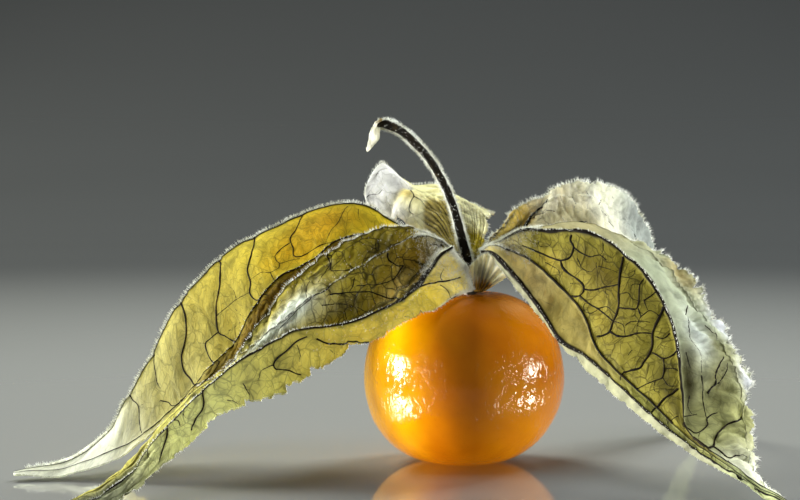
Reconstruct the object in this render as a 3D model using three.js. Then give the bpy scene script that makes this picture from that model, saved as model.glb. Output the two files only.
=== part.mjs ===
// Physalis berry under its torn, spread husk. Millimetres, +Z up, viewer on -Y.
// The origin is the centre of the small flat spot that the berry stands on.
import * as THREE from 'three';

const BLADE = 0.6;          // husk thickness
const RIB = 0.38;           // how far a main rib stands out of the husk
const VEIN = 0.24;          // how far a vein of the net stands out
const BERRY_FLAT = 1.7;     // radius of the flat spot under the berry
const STALK_R = 0.5;        // stalk radius, halfway up
const KNOB_R = 1.15;        // radius of the knob where stalk and berry meet
const CUP_PLEATS = 15;      // pleats round the husk cup

const group = new THREE.Group();

function material(colour, roughness) {
  return new THREE.MeshStandardMaterial({ color: colour, roughness, metalness: 0 });
}

function add(name, points, faces, mat) {
  const geometry = new THREE.BufferGeometry();
  geometry.setAttribute('position', new THREE.Float32BufferAttribute(points.flat(), 3));
  geometry.setIndex(faces.flat());
  geometry.computeVertexNormals();
  const mesh = new THREE.Mesh(geometry, mat);
  mesh.name = name;
  group.add(mesh);
}

function curve(points) {
  const along = points.map((p) => new THREE.Vector3(...p));
  return new THREE.CatmullRomCurve3(along, false, 'centripetal');
}

function smooth(a, b, x) {
  const t = Math.min(1, Math.max(0, (x - a) / (b - a)));
  return t * t * (3 - 2 * t);
}

function ragged(i, seed) {
  const s = Math.sin(i * 12.9898 + seed * 78.233) * 43758.5453;
  return s - Math.floor(s);
}

// One husk lobe. `lines` are its long lines from root to tip, one edge to the other; `cells`
// is how many strips lie between each pair. `ribs` says which lines are ribs. The two edges
// are torn by `tear` strips at most. `crease(u, s)` adds folds, in mm along the normal.
function lobe(name, mat, lines, cells, rows, ribs, tear, crease) {
  const curves = lines.map(curve);
  const cols = cells.reduce((a, b) => a + b, 0);
  const grid = [];
  for (let i = 0; i <= rows; i++) {
    const across = new THREE.CatmullRomCurve3(
      curves.map((c) => c.getPointAt(i / rows)), false, 'centripetal');
    const row = [];
    cells.forEach((n, k) => {
      for (let c = 0; c < n; c++) row.push(across.getPoint((k + c / n) / cells.length));
    });
    row.push(across.getPoint(1));
    grid.push(row);
  }
  for (let i = 1; i < rows; i++) {
    grid[i][0].lerp(grid[i][1], tear[0] * ragged(i, 1));
    grid[i][cols].lerp(grid[i][cols - 1], tear[1] * ragged(i, 2));
  }
  // normals of the sheet, turned to the upper side and evened out at root and tip
  const normals = grid.map((row, i) => row.map((p, j) => {
    const along = grid[Math.min(rows, i + 1)][j].clone().sub(grid[Math.max(0, i - 1)][j]);
    const side = row[Math.min(cols, j + 1)].clone().sub(row[Math.max(0, j - 1)]);
    return along.cross(side).normalize();
  }));
  const total = new THREE.Vector3();
  normals.flat().forEach((n) => total.add(n));
  const flip = total.z < 0 ? -1 : 1;
  normals.forEach((row, i) => {
    const mean = new THREE.Vector3();
    row.forEach((n) => mean.add(n.multiplyScalar(flip)));
    mean.normalize();
    const u = i / rows;
    const even = 1 - smooth(0, 0.16, u) * smooth(0, 0.2, 1 - u);
    row.forEach((n) => n.lerp(mean, even).normalize());
  });
  // ribs, and a net of veins: one down the middle of each panel, with staggered cross veins
  const columns = [];
  cells.forEach((n, k) => {
    for (let c = 0; c < n; c++) columns.push([k, c, n]);
  });
  columns.push([cells.length, 0, 1]);
  const points = [];
  grid.forEach((row, i) => row.forEach((p, j) => {
    const [k, c, n] = columns[j];
    const u = i / rows;
    const ends = smooth(0, 0.06, u) * smooth(0, 0.12, 1 - u);
    const middle = Math.floor(n / 2);
    const crossing = (i + (c < middle ? 0 : 2)) % 4 === 0;
    let height = 0;
    if (c === 0) height = RIB * ribs[k];
    else if (c === middle || crossing) height = VEIN;
    const s = (k + c / n) / cells.length;
    p.addScaledVector(normals[i][j], ends * (height + (crease ? crease(u, s) : 0)));
    points.push([p.x, p.y, p.z]);
  }));
  grid.forEach((row, i) => row.forEach((p, j) => {
    const q = p.clone().addScaledVector(normals[i][j], -BLADE);
    points.push([q.x, q.y, q.z]);
  }));
  const width = cols + 1;
  const under = width * (rows + 1);
  const faces = [];
  const quad = (a, b, c, d) => {
    if (flip > 0) faces.push([a, b, c], [a, c, d]);
    else faces.push([a, c, b], [a, d, c]);
  };
  for (let i = 0; i < rows; i++) {
    for (let j = 0; j < cols; j++) {
      const a = i * width + j;
      const b = a + width;
      quad(a, b, b + 1, a + 1);
      if (flip > 0) faces.push([under + a, under + b + 1, under + b],
        [under + a, under + a + 1, under + b + 1]);
      else faces.push([under + a, under + b, under + b + 1],
        [under + a, under + b + 1, under + a + 1]);
    }
  }
  for (let i = 0; i < rows; i++) {
    const a = i * width;
    const b = a + cols;
    quad(a, under + a, under + a + width, a + width);
    quad(b + width, under + b + width, under + b, b);
  }
  for (let j = 0; j < cols; j++) {
    const b = rows * width + j;
    quad(j + 1, under + j + 1, under + j, j);
    quad(b, under + b, under + b + 1, b + 1);
  }
  add(name, points, faces, mat);
}

// A round rod along a curve, closed at both ends. `radius(t, angle)` is in mm.
function rod(name, mat, path, rings, sides, radius) {
  const frames = path.computeFrenetFrames(rings, false);
  const points = [];
  const faces = [];
  for (let i = 0; i <= rings; i++) {
    const centre = path.getPointAt(i / rings);
    for (let j = 0; j < sides; j++) {
      const angle = (j / sides) * 2 * Math.PI;
      const r = radius(i / rings, angle);
      const p = centre.clone()
        .addScaledVector(frames.normals[i], r * Math.cos(angle))
        .addScaledVector(frames.binormals[i], r * Math.sin(angle));
      points.push([p.x, p.y, p.z]);
    }
  }
  for (let i = 0; i < rings; i++) {
    for (let j = 0; j < sides; j++) {
      const a = i * sides + j;
      const b = i * sides + ((j + 1) % sides);
      faces.push([a, b, b + sides], [a, b + sides, a + sides]);
    }
  }
  for (const [ring, out] of [[0, -1], [rings, 1]]) {
    const centre = path.getPointAt(ring / rings);
    points.push([centre.x, centre.y, centre.z]);
    const hub = points.length - 1;
    for (let j = 0; j < sides; j++) {
      const a = ring * sides + j;
      const b = ring * sides + ((j + 1) % sides);
      faces.push(out > 0 ? [a, b, hub] : [b, a, hub]);
    }
  }
  add(name, points, faces, mat);
}

// Berry: a flattened ball with a small flat spot below and a shallow dent on top.
{
  const outline = [[BERRY_FLAT, 0], [3.4, 0.2], [5.3, 0.95], [6.9, 2.3], [8.0, 4.2], [8.5, 6.4],
    [8.45, 8.5], [7.9, 10.6], [6.8, 12.4], [5.2, 13.7], [3.6, 14.35], [2.2, 14.5], [1.1, 14.35]];
  const profile = new THREE.CatmullRomCurve3(
    outline.map(([r, z]) => new THREE.Vector3(r, 0, z)), false, 'centripetal');
  const rings = 20;
  const sides = 36;
  const points = [[0, 0, 0]];
  const faces = [];
  for (let i = 0; i <= rings; i++) {
    const p = profile.getPoint(i / rings);
    for (let j = 0; j < sides; j++) {
      const a = (j / sides) * 2 * Math.PI;
      const lump = 1 + 0.008 * Math.sin(3 * a + 1) * smooth(0, 3, p.z)
        - 0.025 * Math.max(0, Math.cos(a)) * smooth(0.2, 1, p.z) * (1 - smooth(2, 6, p.z));
      points.push([p.x * lump * Math.cos(a), p.x * lump * Math.sin(a), p.z]);
    }
  }
  points.push([0, 0, 14.25]);
  const top = points.length - 1;
  for (let j = 0; j < sides; j++) {
    const k = (j + 1) % sides;
    faces.push([0, 1 + k, 1 + j]);
    faces.push([1 + rings * sides + j, 1 + rings * sides + k, top]);
    for (let i = 0; i < rings; i++) {
      const a = 1 + i * sides + j;
      const b = 1 + i * sides + k;
      faces.push([a, b, b + sides], [a, b + sides, a + sides]);
    }
  }
  add('berry', points, faces, material(0xe07b10, 0.3));
}

// Stalk: a knob on the berry, then a thin ridged stalk that bends over to the left.
{
  const path = curve([[1.3, 0, 14.85], [1.1, 0, 15.4], [0.75, 0, 16.5], [0.2, 0, 18.1],
    [-0.7, 0.1, 20.3], [-1.5, 0.2, 22.4], [-2.35, 0.3, 24.3], [-3.4, 0.3, 26.0],
    [-4.7, 0.2, 27.5], [-5.9, 0.1, 28.45], [-6.7, 0, 28.8]]);
  rod('pedicel', material(0x4a4226, 0.8), path, 28, 12, (t, angle) => {
    const knob = (KNOB_R - STALK_R) * (1 - smooth(0.01, 0.045, t));
    const foot = 0.14 * (1 - smooth(0.05, 0.5, t));
    const end = 0.12 * smooth(0.9, 1, t);
    return (STALK_R + knob + foot + end) * (1 + 0.05 * Math.cos(4 * angle));
  });
}

// Strip of dry skin that hangs from the cut end of the stalk.
lobe('stem_end_flake', material(0xe6e2d2, 0.9), [
  [[-7.7, -0.7, 29.0], [-8.1, -0.6, 28.2], [-8.2, -0.4, 27.4], [-8.3, -0.3, 26.7]],
  [[-7.7, 0.0, 29.3], [-7.9, 0.0, 28.3], [-7.9, 0.0, 27.4], [-8.0, 0.0, 26.5]],
  [[-7.6, 0.7, 29.0], [-7.5, 0.6, 28.1], [-7.3, 0.4, 27.3], [-7.7, 0.3, 26.7]],
], [3, 3], 8, [0, 0.4, 0], [0.3, 0.3]);

// Cup of the husk round the foot of the stalk, pleated all round.
{
  const wall = [[1.5, 15.65], [1.5, 16.3], [1.75, 17.0], [2.1, 17.7]];   // outer radius, height
  const sides = CUP_PLEATS * 4;
  const points = [];
  const faces = [];
  const ring = (r, z, pleat) => {
    const cx = 1.05 - 0.33 * (z - 15.65);
    for (let j = 0; j < sides; j++) {
      const a = (j / sides) * 2 * Math.PI;
      const out = r + pleat * (Math.cos(CUP_PLEATS * a) - 1);
      points.push([cx + out * Math.cos(a), out * Math.sin(a), z]);
    }
  };
  wall.forEach(([r, z], i) => ring(r, z, 0.06 + 0.03 * i));
  wall.slice().reverse().forEach(([r, z], i) => ring(r - BLADE, z, 0.02));
  const rings = wall.length * 2;
  for (let i = 0; i < rings; i++) {
    for (let j = 0; j < sides; j++) {
      const k = (j + 1) % sides;
      const a = i * sides + j;
      const b = i * sides + k;
      const c = ((i + 1) % rings) * sides;
      faces.push([a, b, c + k], [a, c + k, c + j]);
    }
  }
  add('husk_base', points, faces, material(0xb9a864, 0.85));
}

// Left back lobe: arches up behind, then runs down to a pointed tip on the surface.
lobe('husk_lobe_left_back', material(0xb59a3c, 0.8), [
  [[-2.0, 1.9, 17.2], [-4.2, 3.6, 17.0], [-7, 6.4, 16.9], [-11, 8.8, 15.9], [-16, 9.6, 13.2],
    [-21, 8.4, 9.4], [-25.6, 5.0, 5.4], [-29.6, 0.2, 2.6], [-32.2, -5.0, 1.5],
    [-36.4, -8.6, 0.9]],
  [[-2.1, 1.7, 17.8], [-4.3, 3.2, 18.3], [-7.2, 5.2, 19.8], [-11, 6.6, 19.4], [-16, 6.8, 17.4],
    [-21, 5.4, 14.0], [-25.2, 2.4, 9.0], [-28.4, -1.8, 4.8], [-32, -6.0, 1.9],
    [-36.5, -8.9, 0.9]],
  [[-2.2, 1.4, 18.2], [-3.4, 2.1, 18.9], [-5.4, 3.0, 19.9], [-8.0, 3.7, 21.4],
    [-9.8, 4.0, 21.8], [-14.0, 3.8, 20.8], [-18.3, 3.0, 18.8], [-21.0, 2.0, 17.0],
    [-24.2, 0.0, 13.3], [-26.0, -2.5, 9.7], [-28.0, -5.0, 6.4], [-29.3, -6.4, 3.7],
    [-31.8, -7.5, 1.8], [-36.6, -9.2, 0.9]],
  [[-2.3, 1.0, 18.2], [-6, 1.0, 19.4], [-10.3, 0.5, 19.0], [-12.7, -1.0, 17.4],
    [-16.2, -2.8, 15.4], [-18.9, -4.6, 11.1], [-20.9, -5.8, 8.7], [-23.8, -6.8, 5.8],
    [-27.0, -8.0, 3.2], [-31, -8.6, 1.5], [-36.6, -9.5, 0.85]],
  [[-2.4, 0.6, 17.7], [-5.4, 0.4, 18.0], [-10.4, -1.6, 16.6], [-14.1, -3.5, 14.2],
    [-16.8, -5.0, 11.9], [-19.7, -6.5, 8.9], [-22.5, -7.5, 6.5], [-25.4, -8.5, 4.0],
    [-28.0, -9.2, 1.9], [-31, -9.6, 0.95], [-33.4, -9.8, 0.7], [-36.5, -9.8, 0.8]],
], [3, 3, 4, 4], 34, [0.3, 0.5, 1, 0.8, 0.4], [0.4, 0.5]);

// Left front lobe: a deep fold behind its sharp front ridge, and a torn lower edge.
lobe('husk_lobe_left_front', material(0xa39b52, 0.8), [
  [[-2.3, -0.2, 18.6], [-3.7, -0.4, 19.7], [-5.5, -0.9, 20.1], [-8.4, -2.0, 19.5],
    [-11.3, -3.5, 18.1], [-14.5, -5.5, 15.4], [-16.8, -8.0, 12.3], [-18.6, -10.6, 9.8],
    [-21.2, -12.6, 7.5], [-24.4, -16.4, 4.6], [-26.8, -20.2, 2.3], [-29.9, -24.4, 0.95]],
  [[-2.3, -0.9, 18.6], [-3.7, -1.2, 19.3], [-5.5, -2.1, 18.8], [-8.0, -4.0, 17.3],
    [-10.8, -6.0, 15.7], [-13.5, -8.0, 14.0], [-15.8, -9.4, 12.1], [-18.5, -11.6, 9.8],
    [-21.4, -13.7, 7.8], [-24.3, -17.3, 5.0], [-26.6, -20.9, 2.7], [-30.0, -24.9, 1.0]],
  [[-2.2, -1.6, 18.0], [-3.1, -2.5, 17.2], [-4.6, -4.3, 15.8], [-6.2, -6.0, 14.3],
    [-9.2, -7.5, 12.8], [-11.9, -8.6, 12.0], [-14.4, -10.0, 11.5], [-17.6, -11.9, 10.0],
    [-20.9, -14.3, 8.1], [-24.0, -17.9, 5.2], [-26.4, -21.5, 2.7], [-30.1, -25.3, 0.95]],
  [[-2.0, -2.5, 18.1], [-2.9, -4.3, 16.6], [-4.5, -6.4, 14.8], [-7.0, -8.1, 13.5],
    [-9.6, -9.1, 12.6], [-13.8, -10.3, 12.0], [-17.0, -11.9, 10.5], [-20.6, -14.9, 8.0],
    [-23.7, -18.5, 5.1], [-25.6, -21.6, 2.7], [-27.2, -23.5, 1.7], [-30.1, -25.7, 0.9]],
  [[-0.9, -3.1, 16.7], [-2.1, -4.8, 15.9], [-3.8, -6.6, 14.9], [-6.2, -8.9, 12.8],
    [-11.0, -10.9, 11.2], [-15.6, -13.1, 9.2], [-19.8, -15.9, 6.9], [-22.9, -19.7, 4.2],
    [-25.2, -22.6, 2.2], [-27.6, -24.6, 1.2], [-30.1, -26.0, 0.85]],
  [[0.2, -3.1, 15.1], [-1.0, -4.7, 14.4], [-3.5, -7.1, 12.7], [-6.4, -9.2, 11.7],
    [-9.9, -11.1, 10.0], [-12.9, -13.2, 8.1], [-15.8, -15.2, 6.7], [-18.4, -16.4, 6.2],
    [-21.5, -19.3, 3.8], [-24.1, -22.3, 1.9], [-26.6, -25.0, 1.0], [-30.0, -26.3, 0.8]],
], [3, 2, 2, 3, 3], 34, [0.6, 0.8, 0, 1, 0.3, 0.3], [0, 0.6]);

// Right front lobe: a dark netted panel between two strong ribs, and a crumpled outer panel.
lobe('husk_lobe_right_front', material(0x8f8a45, 0.8), [
  [[1.4, -2.7, 15.1], [2.6, -3.1, 15.8], [3.6, -3.8, 16.0], [5.1, -4.9, 14.4],
    [7.8, -7.0, 10.9], [10.0, -9.5, 8.5], [12.7, -12.7, 6.2], [16.0, -17.3, 3.8],
    [20.1, -22.0, 1.9], [22.6, -24.0, 0.9]],
  [[1.8, -2.7, 18.0], [4.0, -4.5, 16.3], [6.1, -6.5, 13.7], [7.7, -8.2, 11.3],
    [9.7, -9.7, 10.1], [12.7, -13.0, 7.4], [16.1, -17.0, 4.6], [19.9, -21.6, 2.4],
    [22.8, -23.9, 1.1]],
  [[2.3, -2.0, 18.4], [5.0, -3.0, 17.7], [7.5, -5.2, 15.7], [9.4, -7.8, 13.5],
    [10.5, -10.2, 10.6], [14.1, -14.0, 7.1], [16.4, -16.9, 4.9], [20.1, -21.3, 2.6],
    [22.9, -23.8, 1.2]],
  [[2.8, -1.2, 18.5], [4.9, -1.5, 19.7], [7.3, -2.4, 19.8], [10.5, -4.4, 19.6],
    [12.9, -6.5, 18.1], [14.7, -8.5, 16.1], [16.2, -11.2, 12.8], [16.5, -14.5, 8.0],
    [16.6, -16.7, 5.3], [20.3, -21.0, 2.8], [23.0, -23.7, 1.2]],
  [[3.1, -0.8, 18.5], [5.0, -0.8, 19.8], [7.2, -1.2, 20.2], [9.1, -1.2, 20.5],
    [11.5, -1.6, 20.0], [14.1, -2.5, 18.9], [16.8, -4.5, 16.6], [19.2, -8.0, 13.0],
    [20.7, -10.5, 10.4], [21.4, -13.5, 7.5], [21.2, -17.0, 4.4], [21.6, -21.0, 2.3],
    [23.1, -23.5, 1.1]],
  [[3.3, -0.4, 18.2], [5.2, -0.4, 19.6], [7.2, -0.7, 20.0], [9.1, -0.7, 20.3],
    [11.5, -0.9, 19.8], [14.4, -0.5, 18.7], [17.0, -0.2, 18.0], [20.1, -2.4, 16.5],
    [20.8, -4.0, 15.0], [22.2, -7.0, 11.0], [23.3, -10.6, 7.8], [22.5, -14.3, 4.8],
    [21.9, -19.0, 2.2], [23.2, -23.3, 0.95]],
], [2, 3, 4, 3, 3], 34, [0.3, 1, 0.6, 1, 0.3, 0.3], [0.3, 0.9],
(u, s) => 0.25 * Math.sin(38 * u + 9 * s) * smooth(0.72, 0.9, s) * smooth(0.25, 0.5, u));

// Right back lobe: rises to a pale dome, then falls behind the right front lobe.
lobe('husk_lobe_right_back', material(0xd8dccb, 0.85), [
  [[2.9, 1.8, 18.2], [4.4, 4.2, 19.4], [7, 8.6, 19.6], [11, 13, 18.4], [15.4, 16.6, 14.6],
    [18.8, 18.6, 9.6], [21.4, 18.8, 4.6], [23.4, 18.0, 1.1]],
  [[3.0, 1.4, 18.6], [3.6, 2.3, 20.5], [4.8, 3.0, 21.5], [6.4, 3.7, 22.1], [9.0, 5.5, 23.5],
    [12.2, 7.0, 23.7], [15.5, 9.5, 21.9], [18.0, 13.0, 17.3], [20.0, 15.4, 12.0],
    [21.8, 16.6, 6.4], [23.4, 17.4, 1.1]],
  [[3.1, 0.9, 18.6], [5.0, 1.3, 20.0], [6.2, 2.5, 21.3], [8.7, 4.0, 22.6], [11.3, 4.8, 22.4],
    [14.6, 7.4, 20.4], [17.4, 10.8, 16.4], [19.8, 13.8, 10.6], [21.8, 15.6, 5.4],
    [23.4, 16.9, 1.0]],
  [[3.2, 0.5, 18.3], [5.0, 0.5, 19.3], [7.2, 0.7, 19.8], [9.1, 0.9, 20.0], [11.5, 1.2, 19.6],
    [14.1, 2.2, 18.4], [17, 5.2, 15.8], [19.8, 9.4, 10.8], [21.8, 13.2, 5.4],
    [23.3, 16.3, 0.9]],
], [3, 3, 3], 26, [0.3, 0.5, 1, 0.4], [0.5, 0.3],
(u, s) => 0.16 * Math.sin(44 * u + 4 * s) * smooth(0.4, 0.7, s) * smooth(0.15, 0.3, u));

// Back lobe: short, pleated at the foot, torn off and curled up at its left end.
lobe('husk_lobe_back', material(0xcfc48a, 0.85), [
  [[-1.1, 2.4, 18.1], [-2.3, 3.5, 18.9], [-3.8, 4.5, 19.6], [-5.8, 5.6, 20.5],
    [-8.4, 6.3, 22.1]],
  [[-0.7, 2.6, 18.1], [-2.2, 4.5, 20.4], [-4.6, 6.4, 22.0], [-7.9, 8.4, 24.1]],
  [[-0.1, 2.7, 18.1], [-1.6, 5.2, 21.2], [-4.0, 7.8, 23.2], [-6.8, 9.6, 25.5]],
  [[0.5, 2.8, 18.1], [-0.5, 5.4, 21.3], [-2.4, 8.2, 23.2], [-4.4, 10.6, 23.6]],
  [[1.1, 2.8, 18.1], [0.6, 5.2, 21.0], [-0.2, 8.2, 22.5], [-0.8, 11.6, 21.6]],
  [[1.7, 2.6, 18.1], [1.9, 4.2, 20.2], [2.1, 6.6, 21.2], [2.4, 10.2, 20.2]],
  [[2.2, 2.3, 18.0], [2.7, 3.4, 19.6], [3.1, 4.8, 20.5], [3.4, 6.8, 20.2]],
], [2, 2, 2, 2, 2, 2], 16, [0.6, 1, 1, 1, 1, 1, 0.6], [0.4, 0.4]);

export default group;
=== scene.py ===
import math
import random

import bpy
import numpy as np
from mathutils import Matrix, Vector


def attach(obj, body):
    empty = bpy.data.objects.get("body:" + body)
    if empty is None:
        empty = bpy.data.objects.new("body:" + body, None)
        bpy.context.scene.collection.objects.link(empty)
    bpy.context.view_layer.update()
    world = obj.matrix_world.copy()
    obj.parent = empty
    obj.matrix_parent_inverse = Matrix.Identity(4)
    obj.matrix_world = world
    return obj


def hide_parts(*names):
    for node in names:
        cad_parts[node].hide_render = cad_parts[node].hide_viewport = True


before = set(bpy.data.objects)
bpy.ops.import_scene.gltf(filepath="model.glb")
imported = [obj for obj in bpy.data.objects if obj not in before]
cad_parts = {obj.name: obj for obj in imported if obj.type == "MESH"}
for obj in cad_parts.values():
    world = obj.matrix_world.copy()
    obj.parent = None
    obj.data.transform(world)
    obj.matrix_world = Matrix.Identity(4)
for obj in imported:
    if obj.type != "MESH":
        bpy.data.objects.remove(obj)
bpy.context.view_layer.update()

MM = 0.001

# Camera: close and low, a little above the surface that the berry stands on.
camera_data = bpy.data.cameras.new("close_camera")
camera_data.sensor_width = 36
camera_data.lens = 84.7
camera_data.clip_start = 0.005
camera = bpy.data.objects.new("close_camera", camera_data)
camera.location = (-5.4 * MM, -160 * MM, 26.8 * MM)
camera.rotation_euler = (math.radians(86.9), 0, 0)
bpy.context.scene.collection.objects.link(camera)
bpy.context.scene.camera = camera


# Stage: a polished floor that curves up behind, pale under the object and painted darker
# further out, as a pool of light. It is lit by soft boxes on both sides and from behind. Sizes
# and places are in metres here.
def mesh_object(name, points, faces, edges=()):
    mesh = bpy.data.meshes.new(name)
    mesh.from_pydata([tuple(p) for p in points], edges, [tuple(f) for f in faces])
    mesh.update()
    piece = bpy.data.objects.new(name, mesh)
    bpy.context.scene.collection.objects.link(piece)
    return piece


def shade_smooth(piece):
    for face in piece.data.polygons:
        face.use_smooth = True


def feed(tree, made, sockets):
    """Gives each socket of a node its value, or links it to the output that feeds it."""
    for key, value in sockets.items():
        if isinstance(value, bpy.types.NodeSocket):
            tree.links.new(value, made.inputs[key])
        else:
            made.inputs[key].default_value = value


def put(tree, kind, sockets=None, out=None, **settings):
    """Adds a node, and returns one of its outputs: the first in use, unless named."""
    made = tree.nodes.new(kind)
    for key, value in settings.items():
        setattr(made, key, value)
    feed(tree, made, sockets or {})
    return made.outputs[out] if out else next((s for s in made.outputs if s.enabled), None)


def new_finish(name):
    """A material, its nodes and its main shader."""
    made = bpy.data.materials.new(name)
    made.use_nodes = True
    return made, made.node_tree, made.node_tree.nodes["Principled BSDF"]


def own_place(tree):
    """Where a point lies on its own piece."""
    return put(tree, "ShaderNodeTexCoord", out="Object")


def eased(tree, value, start, stop, low=0.0, high=1.0):
    """Carries a value over from start..stop to low..high, smoothly."""
    return put(tree, "ShaderNodeMapRange", {
        "Value": value, "From Min": start, "From Max": stop, "To Min": low, "To Max": high},
        interpolation_type="SMOOTHSTEP")


FLOOR_FRONT, BEND_START, BEND_RADIUS, WALL_TOP, HALF_WIDTH = -0.9, 0.35, 0.3, 1.3, 1.6
sweep = [(FLOOR_FRONT, 0.0), (BEND_START, 0.0)]
sweep += [(BEND_START + BEND_RADIUS * math.sin(a), BEND_RADIUS - BEND_RADIUS * math.cos(a))
          for a in np.linspace(0.1, math.pi / 2, 12)]
sweep += [(BEND_START + BEND_RADIUS, WALL_TOP)]
floor = mesh_object(
    "pale_floor", [(x, y, z) for y, z in sweep for x in (-HALF_WIDTH, HALF_WIDTH)],
    [(2 * i, 2 * i + 1, 2 * i + 3, 2 * i + 2) for i in range(len(sweep) - 1)])
floor_finish, tree, shader = new_finish("pale_floor")
# Painted light: the floor is pale near the object and fades to nearly black further out.
distance = put(tree, "ShaderNodeVectorMath", {"Vector": own_place(tree)}, operation="LENGTH")
tone = put(tree, "ShaderNodeMix", {
    "Factor": eased(tree, distance, 0.04, 0.30), "A": (0.32, 0.32, 0.315, 1),
    "B": (0.050, 0.051, 0.053, 1)}, data_type="RGBA")
feed(tree, shader, {"Base Color": tone, "Roughness": 0.07, "Specular IOR Level": 0.8})
floor.data.materials.append(floor_finish)
shade_smooth(floor)

world = bpy.data.worlds.new("studio")
world.use_nodes = True
feed(world.node_tree, world.node_tree.nodes["Background"],
     {"Color": (0.95, 0.98, 1.0, 1), "Strength": 0.11})
bpy.context.scene.world = world
bpy.context.scene.view_settings.view_transform = "Standard"


def lamp_list(name, piece, state="INCLUDE"):
    """A list of what a lamp lights, or, with EXCLUDE, of what it passes by."""
    made = bpy.data.collections.new(name)
    made.objects.link(piece)
    made.collection_objects[0].light_linking.link_state = state
    return made


def soft_box(name, place, aim, size, watts, colour=(1, 1, 1), lights=None, stopped_by=None):
    """A flat panel of light. One with a list of what it lights also shows as a reflection;
    stopped_by lists what can throw a shadow in it."""
    lamp = bpy.data.lights.new(name, "AREA")
    lamp.shape = "RECTANGLE"
    lamp.size, lamp.size_y = size
    lamp.energy = watts
    lamp.color = colour
    holder = bpy.data.objects.new(name, lamp)
    holder.location = place
    toward = Vector(aim) - Vector(place)
    holder.rotation_euler = toward.to_track_quat("-Z", "Y").to_euler()
    holder.visible_camera = False
    holder.visible_glossy = lights is not None
    if lights:
        holder.light_linking.receiver_collection = lights
    if stopped_by:
        holder.light_linking.blocker_collection = stopped_by
    bpy.context.scene.collection.objects.link(holder)
    return holder


# The windows are flagged off the floor, and the bounces are their light thrown back up by its
# polish, so the floor neither shows nor stops them.
flagged = lamp_list("kept_off_the_floor", floor, "EXCLUDE")
for name, place, aim_height, side, watts, stopped_by in (
        ("left_window", (-0.232, -0.030, 0.050), 0.012, 0.066, 1.20, None),
        ("right_window", (0.232, -0.036, 0.050), 0.012, 0.056, 0.75, None),
        ("left_bounce", (-0.232, -0.030, -0.050), 0.004, 0.066, 0.50, flagged),
        ("right_bounce", (0.232, -0.036, -0.050), 0.004, 0.056, 0.32, flagged)):
    soft_box(name, place, (0, 0, aim_height), (side, side), watts, lights=flagged,
             stopped_by=stopped_by)
soft_box("back_left", (-0.26, 0.34, 0.34), (-0.01, 0, 0.012), (0.22, 0.22), 4.3, (0.97, 1, 0.88))
soft_box("back_right", (0.26, 0.34, 0.36), (0.01, 0, 0.012), (0.22, 0.22), 3.4, (0.92, 1, 0.97))
top_fill = soft_box("top_fill", (0, -0.05, 0.40), (0, 0, 0.01), (0.25, 0.25), 0.42)


# Berry: a round ripe fruit, a little wider than tall, with thin waxy skin over juicy flesh.
# It stands on a small flat spot and has a shallow dent on top where the stalk joins.
def smooth(a, b, x):
    """From 0 at a to 1 at b, eased at both ends. b may be the lower one."""
    t = np.clip((x - a) / (b - a), 0, 1)
    return t * t * (3 - 2 * t)


def spline(points, t):
    """Smooth curves through points[line, row] (mm), read at t[row, column] from 0 to 1."""
    points = np.asarray(points, float)
    last = len(points) - 1
    place = np.clip(t, 0, 1) * last
    step = np.clip(np.floor(place), 0, last - 1).astype(int)
    w = (place - step)[..., None]
    ends = np.concatenate([[2 * points[0] - points[1]], points,
                           [2 * points[-1] - points[-2]]])
    rows = np.arange(points.shape[1])[:, None]
    a, b, c, d = (ends[step + k, rows] for k in range(4))
    ab, bc, cd = (np.maximum(np.linalg.norm(q - p, axis=-1, keepdims=True), 1e-8) ** 0.5
                  for p, q in ((a, b), (b, c), (c, d)))
    t1 = ((b - a) / ab - (c - a) / (ab + bc) + (c - b) / bc) * bc
    t2 = ((c - b) / bc - (d - b) / (bc + cd) + (d - c) / cd) * bc
    return b + t1 * w + (3 * c - 3 * b - 2 * t1 - t2) * w ** 2 + (2 * b - 2 * c + t1 + t2) * w ** 3


def along(points, u):
    """Points on one curve at even shares u of its length."""
    fine = spline(np.asarray(points, float)[:, None, :], np.linspace(0, 1, 600)[None, :])[0]
    run = np.concatenate([[0], np.cumsum(np.linalg.norm(np.diff(fine, axis=0), axis=1))])
    t = np.interp(np.asarray(u) * run[-1], run, np.linspace(0, 1, 600))
    return spline(np.asarray(points, float)[:, None, :], t[None, :])[0]


def ripple(x, y, seed, size):
    """Soft uneven waves from -1 to 1, about `size` long."""
    draw = np.random.default_rng(seed)
    total = 0
    for k in range(7):
        turn = draw.uniform(0, math.pi)
        wave = 2 * math.pi / size * draw.uniform(0.6, 1.9)
        total = total + np.sin(wave * (x * math.cos(turn) + y * math.sin(turn))
                               + draw.uniform(0, 6.3))
    return total / 7 * 1.6


def ring_faces(first, rings, sides, foot=None, top=None):
    """Faces of a wall of rings, whose points start at number first. Where they are given, a
    foot point and a top point close it."""
    pairs = [(j, (j + 1) % sides) for j in range(sides)]
    last = first + (rings - 1) * sides
    faces = [(a + j, a + k, a + sides + k, a + sides + j)
             for a in range(first, last, sides) for j, k in pairs]
    for j, k in pairs if top else ():
        faces += [(first + k, first + j, foot), (last + j, last + k, top)]
    return faces


def grey(value):
    return (value, value, value)


def ramp(tree, fac, stops):
    made = put(tree, "ShaderNodeValToRGB", {"Fac": fac}).node
    while len(made.color_ramp.elements) < len(stops):
        made.color_ramp.elements.new(0.5)
    for element, (position, colour) in zip(made.color_ramp.elements, stops):
        element.position = position
        element.color = (*colour, 1)
    return made.outputs["Color"]


def times(tree, a, b, factor=1.0):
    """One colour darkened by another."""
    return put(tree, "ShaderNodeMix", {"Factor": factor, "A": a, "B": b},
               data_type="RGBA", blend_type="MULTIPLY")


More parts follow.
